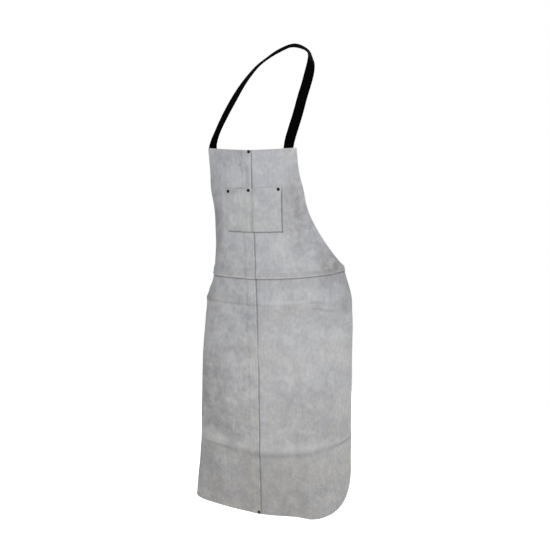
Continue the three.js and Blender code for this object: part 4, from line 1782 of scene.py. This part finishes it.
@dataclass
class Apron:
    """The whole apron: strap, four panels, pocket, rivets and stitching."""

    leather: WornLeather = WornLeather()
    pocket_offset: Triple = (3.1, 0.4, 1.2)
    pocket_tint: Triple = (1.01, 1.01, 0.985)
    pocket_flat: Pair = (0.172, 0.122)
    hem_inset: float = 8.0
    top_inset: float = 12.0
    edge_inset: float = 5.0
    over_pocket: float = 4.0
    under_pocket: float = 6.0
    waist_starts: dict[Side, float] = field(default_factory=lambda: {Side.LEFT: -3.0, Side.RIGHT: 2.0})
    box_half: float = 9.0
    box_top: float = 5.0
    box_foot: float = 30.0
    panels: dict[tuple[Tier, Side], LeatherPanel] = field(default_factory=dict)
    pocket: ChestPocket = field(init=False)
    strap: NeckStrap = field(init=False)

    def __post_init__(self) -> None:
        """Cut the pocket and the strap, which the other pieces are fitted to."""
        self.pocket = ChestPocket("leather_pocket", "leather", self.leather)
        self.strap = NeckStrap("neck_strap_webbing", "webbing", self.leather)

    def build_panels(self) -> None:
        for row in PANELS:
            tier, side = row.tier.value, row.side.name.lower()
            name = f"leather_{tier}_{side}"
            panel = LeatherPanel(
                name, "leather", self.leather, side=row.side, tier=row.tier, pocket=self.pocket
            )
            panel.build()
            clouds, streaks = row.contrast
            finish = SuedeFinish(
                f"suede_{tier}_{side}", row.offset, cloud_contrast=clouds, streak_contrast=streaks
            )
            panel.dress(finish.material(), f"{tier}_panel_{side}")
            self.panels[(row.tier, row.side)] = panel

    def build_pocket(self) -> None:
        self.pocket.build()
        finish = SuedeFinish("suede_pocket", self.pocket_offset, self.pocket_tint)
        self.pocket.dress(finish.material(), "chest_pocket")

    def build_rivets(self) -> None:
        """Make and dress the five rivets, each seated on the face under its cap."""
        cut, lacquer = self.leather, LacquerFinish().material()
        for spot in RIVETS:
            s, drop = np.float64(spot.s), np.float64(spot.drop)
            under = float(self.pocket.inner_height(s, drop)) if spot.on_pocket else cut.layer
            seat = under + cut.thickness
            name = f"rivet_cap_{spot.name}"
            rivet = Rivet(name, "rivet", cut, s=spot.s, drop=spot.drop, leathers=spot.leathers, seat=seat)
            rivet.build()
            rivet.dress(lacquer, f"rivet_{spot.name}")

    def centre_rows(self) -> tuple[SewnRow, ...]:
        """Two rows down the centre lap, left out where the pocket covers them.

        Returns:
            The rows.
        """
        cut, lap = self.leather, self.leather.waist_seam_drop
        stretches = (
            (Tier.BIB, self.top_inset, self.pocket.drop - self.over_pocket),
            (Tier.BIB, self.pocket.foot + self.under_pocket, lap - cut.waist_lap),
            (Tier.SKIRT, lap + self.edge_inset, cut.length - self.hem_inset),
        )
        rows = []
        for tier, start, end in stretches:
            over, under = self.panels[(tier, Side.LEFT)], self.panels[(tier, Side.RIGHT)]
            for s in over.centre_rows:
                rows.append(SewnRow((s, start), (s, end), over.outer_height, under.inner_height))
        return tuple(rows)

    def waist_rows(self) -> tuple[SewnRow, ...]:
        """Two rows along the waist lap on each half.

        Returns:
            The rows.
        """
        rows = []
        for side in Side:
            over, under = self.panels[(Tier.BIB, side)], self.panels[(Tier.SKIRT, side)]
            for above in over.waist_rows:
                drop = self.leather.waist_seam_drop - above
                edge = float(self.leather.half_width_at(np.float64(drop))) - self.edge_inset
                start, end = (self.waist_starts[side], drop), (side.value * edge, drop)
                rows.append(SewnRow(start, end, over.outer_height, under.inner_height))
        return tuple(rows)

    def pocket_rows(self) -> tuple[SewnRow, ...]:
        """Two rows round the pocket's sides and foot, and two beside the divider.

        Returns:
            The rows.
        """
        pocket, lap = self.pocket, -self.leather.centre_lap
        left, right = (self.panels[(Tier.BIB, side)] for side in Side)

        def under(s: Array, drop: Array) -> Array:
            """Inner face of whichever bib half is behind the pocket."""
            return np.where(s < lap, left.inner_height(s, drop), right.inner_height(s, drop))

        ends = []
        for inset in pocket.sewn_insets:
            foot = pocket.height - inset
            near, far = pocket.left + inset, pocket.right - inset
            corners = ((near, self.top_inset), (near, foot), (far, foot), (far, self.top_inset))
            ends += list(zip(corners, corners[1:]))
        for spot in (pocket.divider - pocket.divider_half, pocket.divider + pocket.divider_half):
            ends.append(((spot, self.top_inset), (spot, pocket.height - pocket.sewn_insets[-1])))
        spots = [[pocket.place(u, down / pocket.height) for u, down in pair] for pair in ends]
        return tuple(SewnRow(start, end, pocket.outer_height, under) for start, end in spots)

    def strap_rows(self) -> tuple[SewnRow, ...]:
        """A crossed box of stitches through the bib and each end of the strap.

        Returns:
            The rows.
        """
        strap, rows = self.strap, []

        def under(s: Array, drop: Array) -> Array:
            """Back of the strap's sewn end."""
            return np.full_like(s, strap.behind - strap.thickness / 2.0)

        for side, middle in strap.sewn_spots.items():
            face = self.panels[(Tier.BIB, side)].outer_height
            left, right = middle - self.box_half, middle + self.box_half
            top, foot = self.box_top, self.box_foot
            corners = ((left, top), (right, top), (right, foot), (left, foot))
            sides = list(zip(corners, corners[1:] + corners[:1]))
            sides += [(corners[0], corners[2]), (corners[1], corners[3])]
            rows += [SewnRow(start, end, face, under) for start, end in sides]
        return tuple(rows)

    def build_stitching(self) -> None:
        """Make and dress every row of thread."""
        thread = ThreadFinish().material()
        groups = {
            "thread_centre_seam": self.centre_rows(),
            "thread_waist_seam": self.waist_rows(),
            "thread_pocket": self.pocket_rows(),
            "thread_strap_ends": self.strap_rows(),
        }
        for name, rows in groups.items():
            stitching = Stitching(name, "leather", self.leather, rows=rows)
            stitching.build()
            stitching.dress(thread)

    def build(self) -> None:
        """Build everything in order, the strap first because the leather hangs from it."""
        strap = self.strap
        strap.build()
        strap.dress(WebbingFinish().material(), "neck_strap")
        self.build_panels()
        self.build_pocket()
        self.build_rivets()
        self.build_stitching()


def main() -> None:
    """Set the stage and build the apron."""
    logging.basicConfig(level=logging.INFO, format="%(name)s: %(message)s")
    Studio().build()
    Apron().build()


if __name__ == "__main__":
    main()
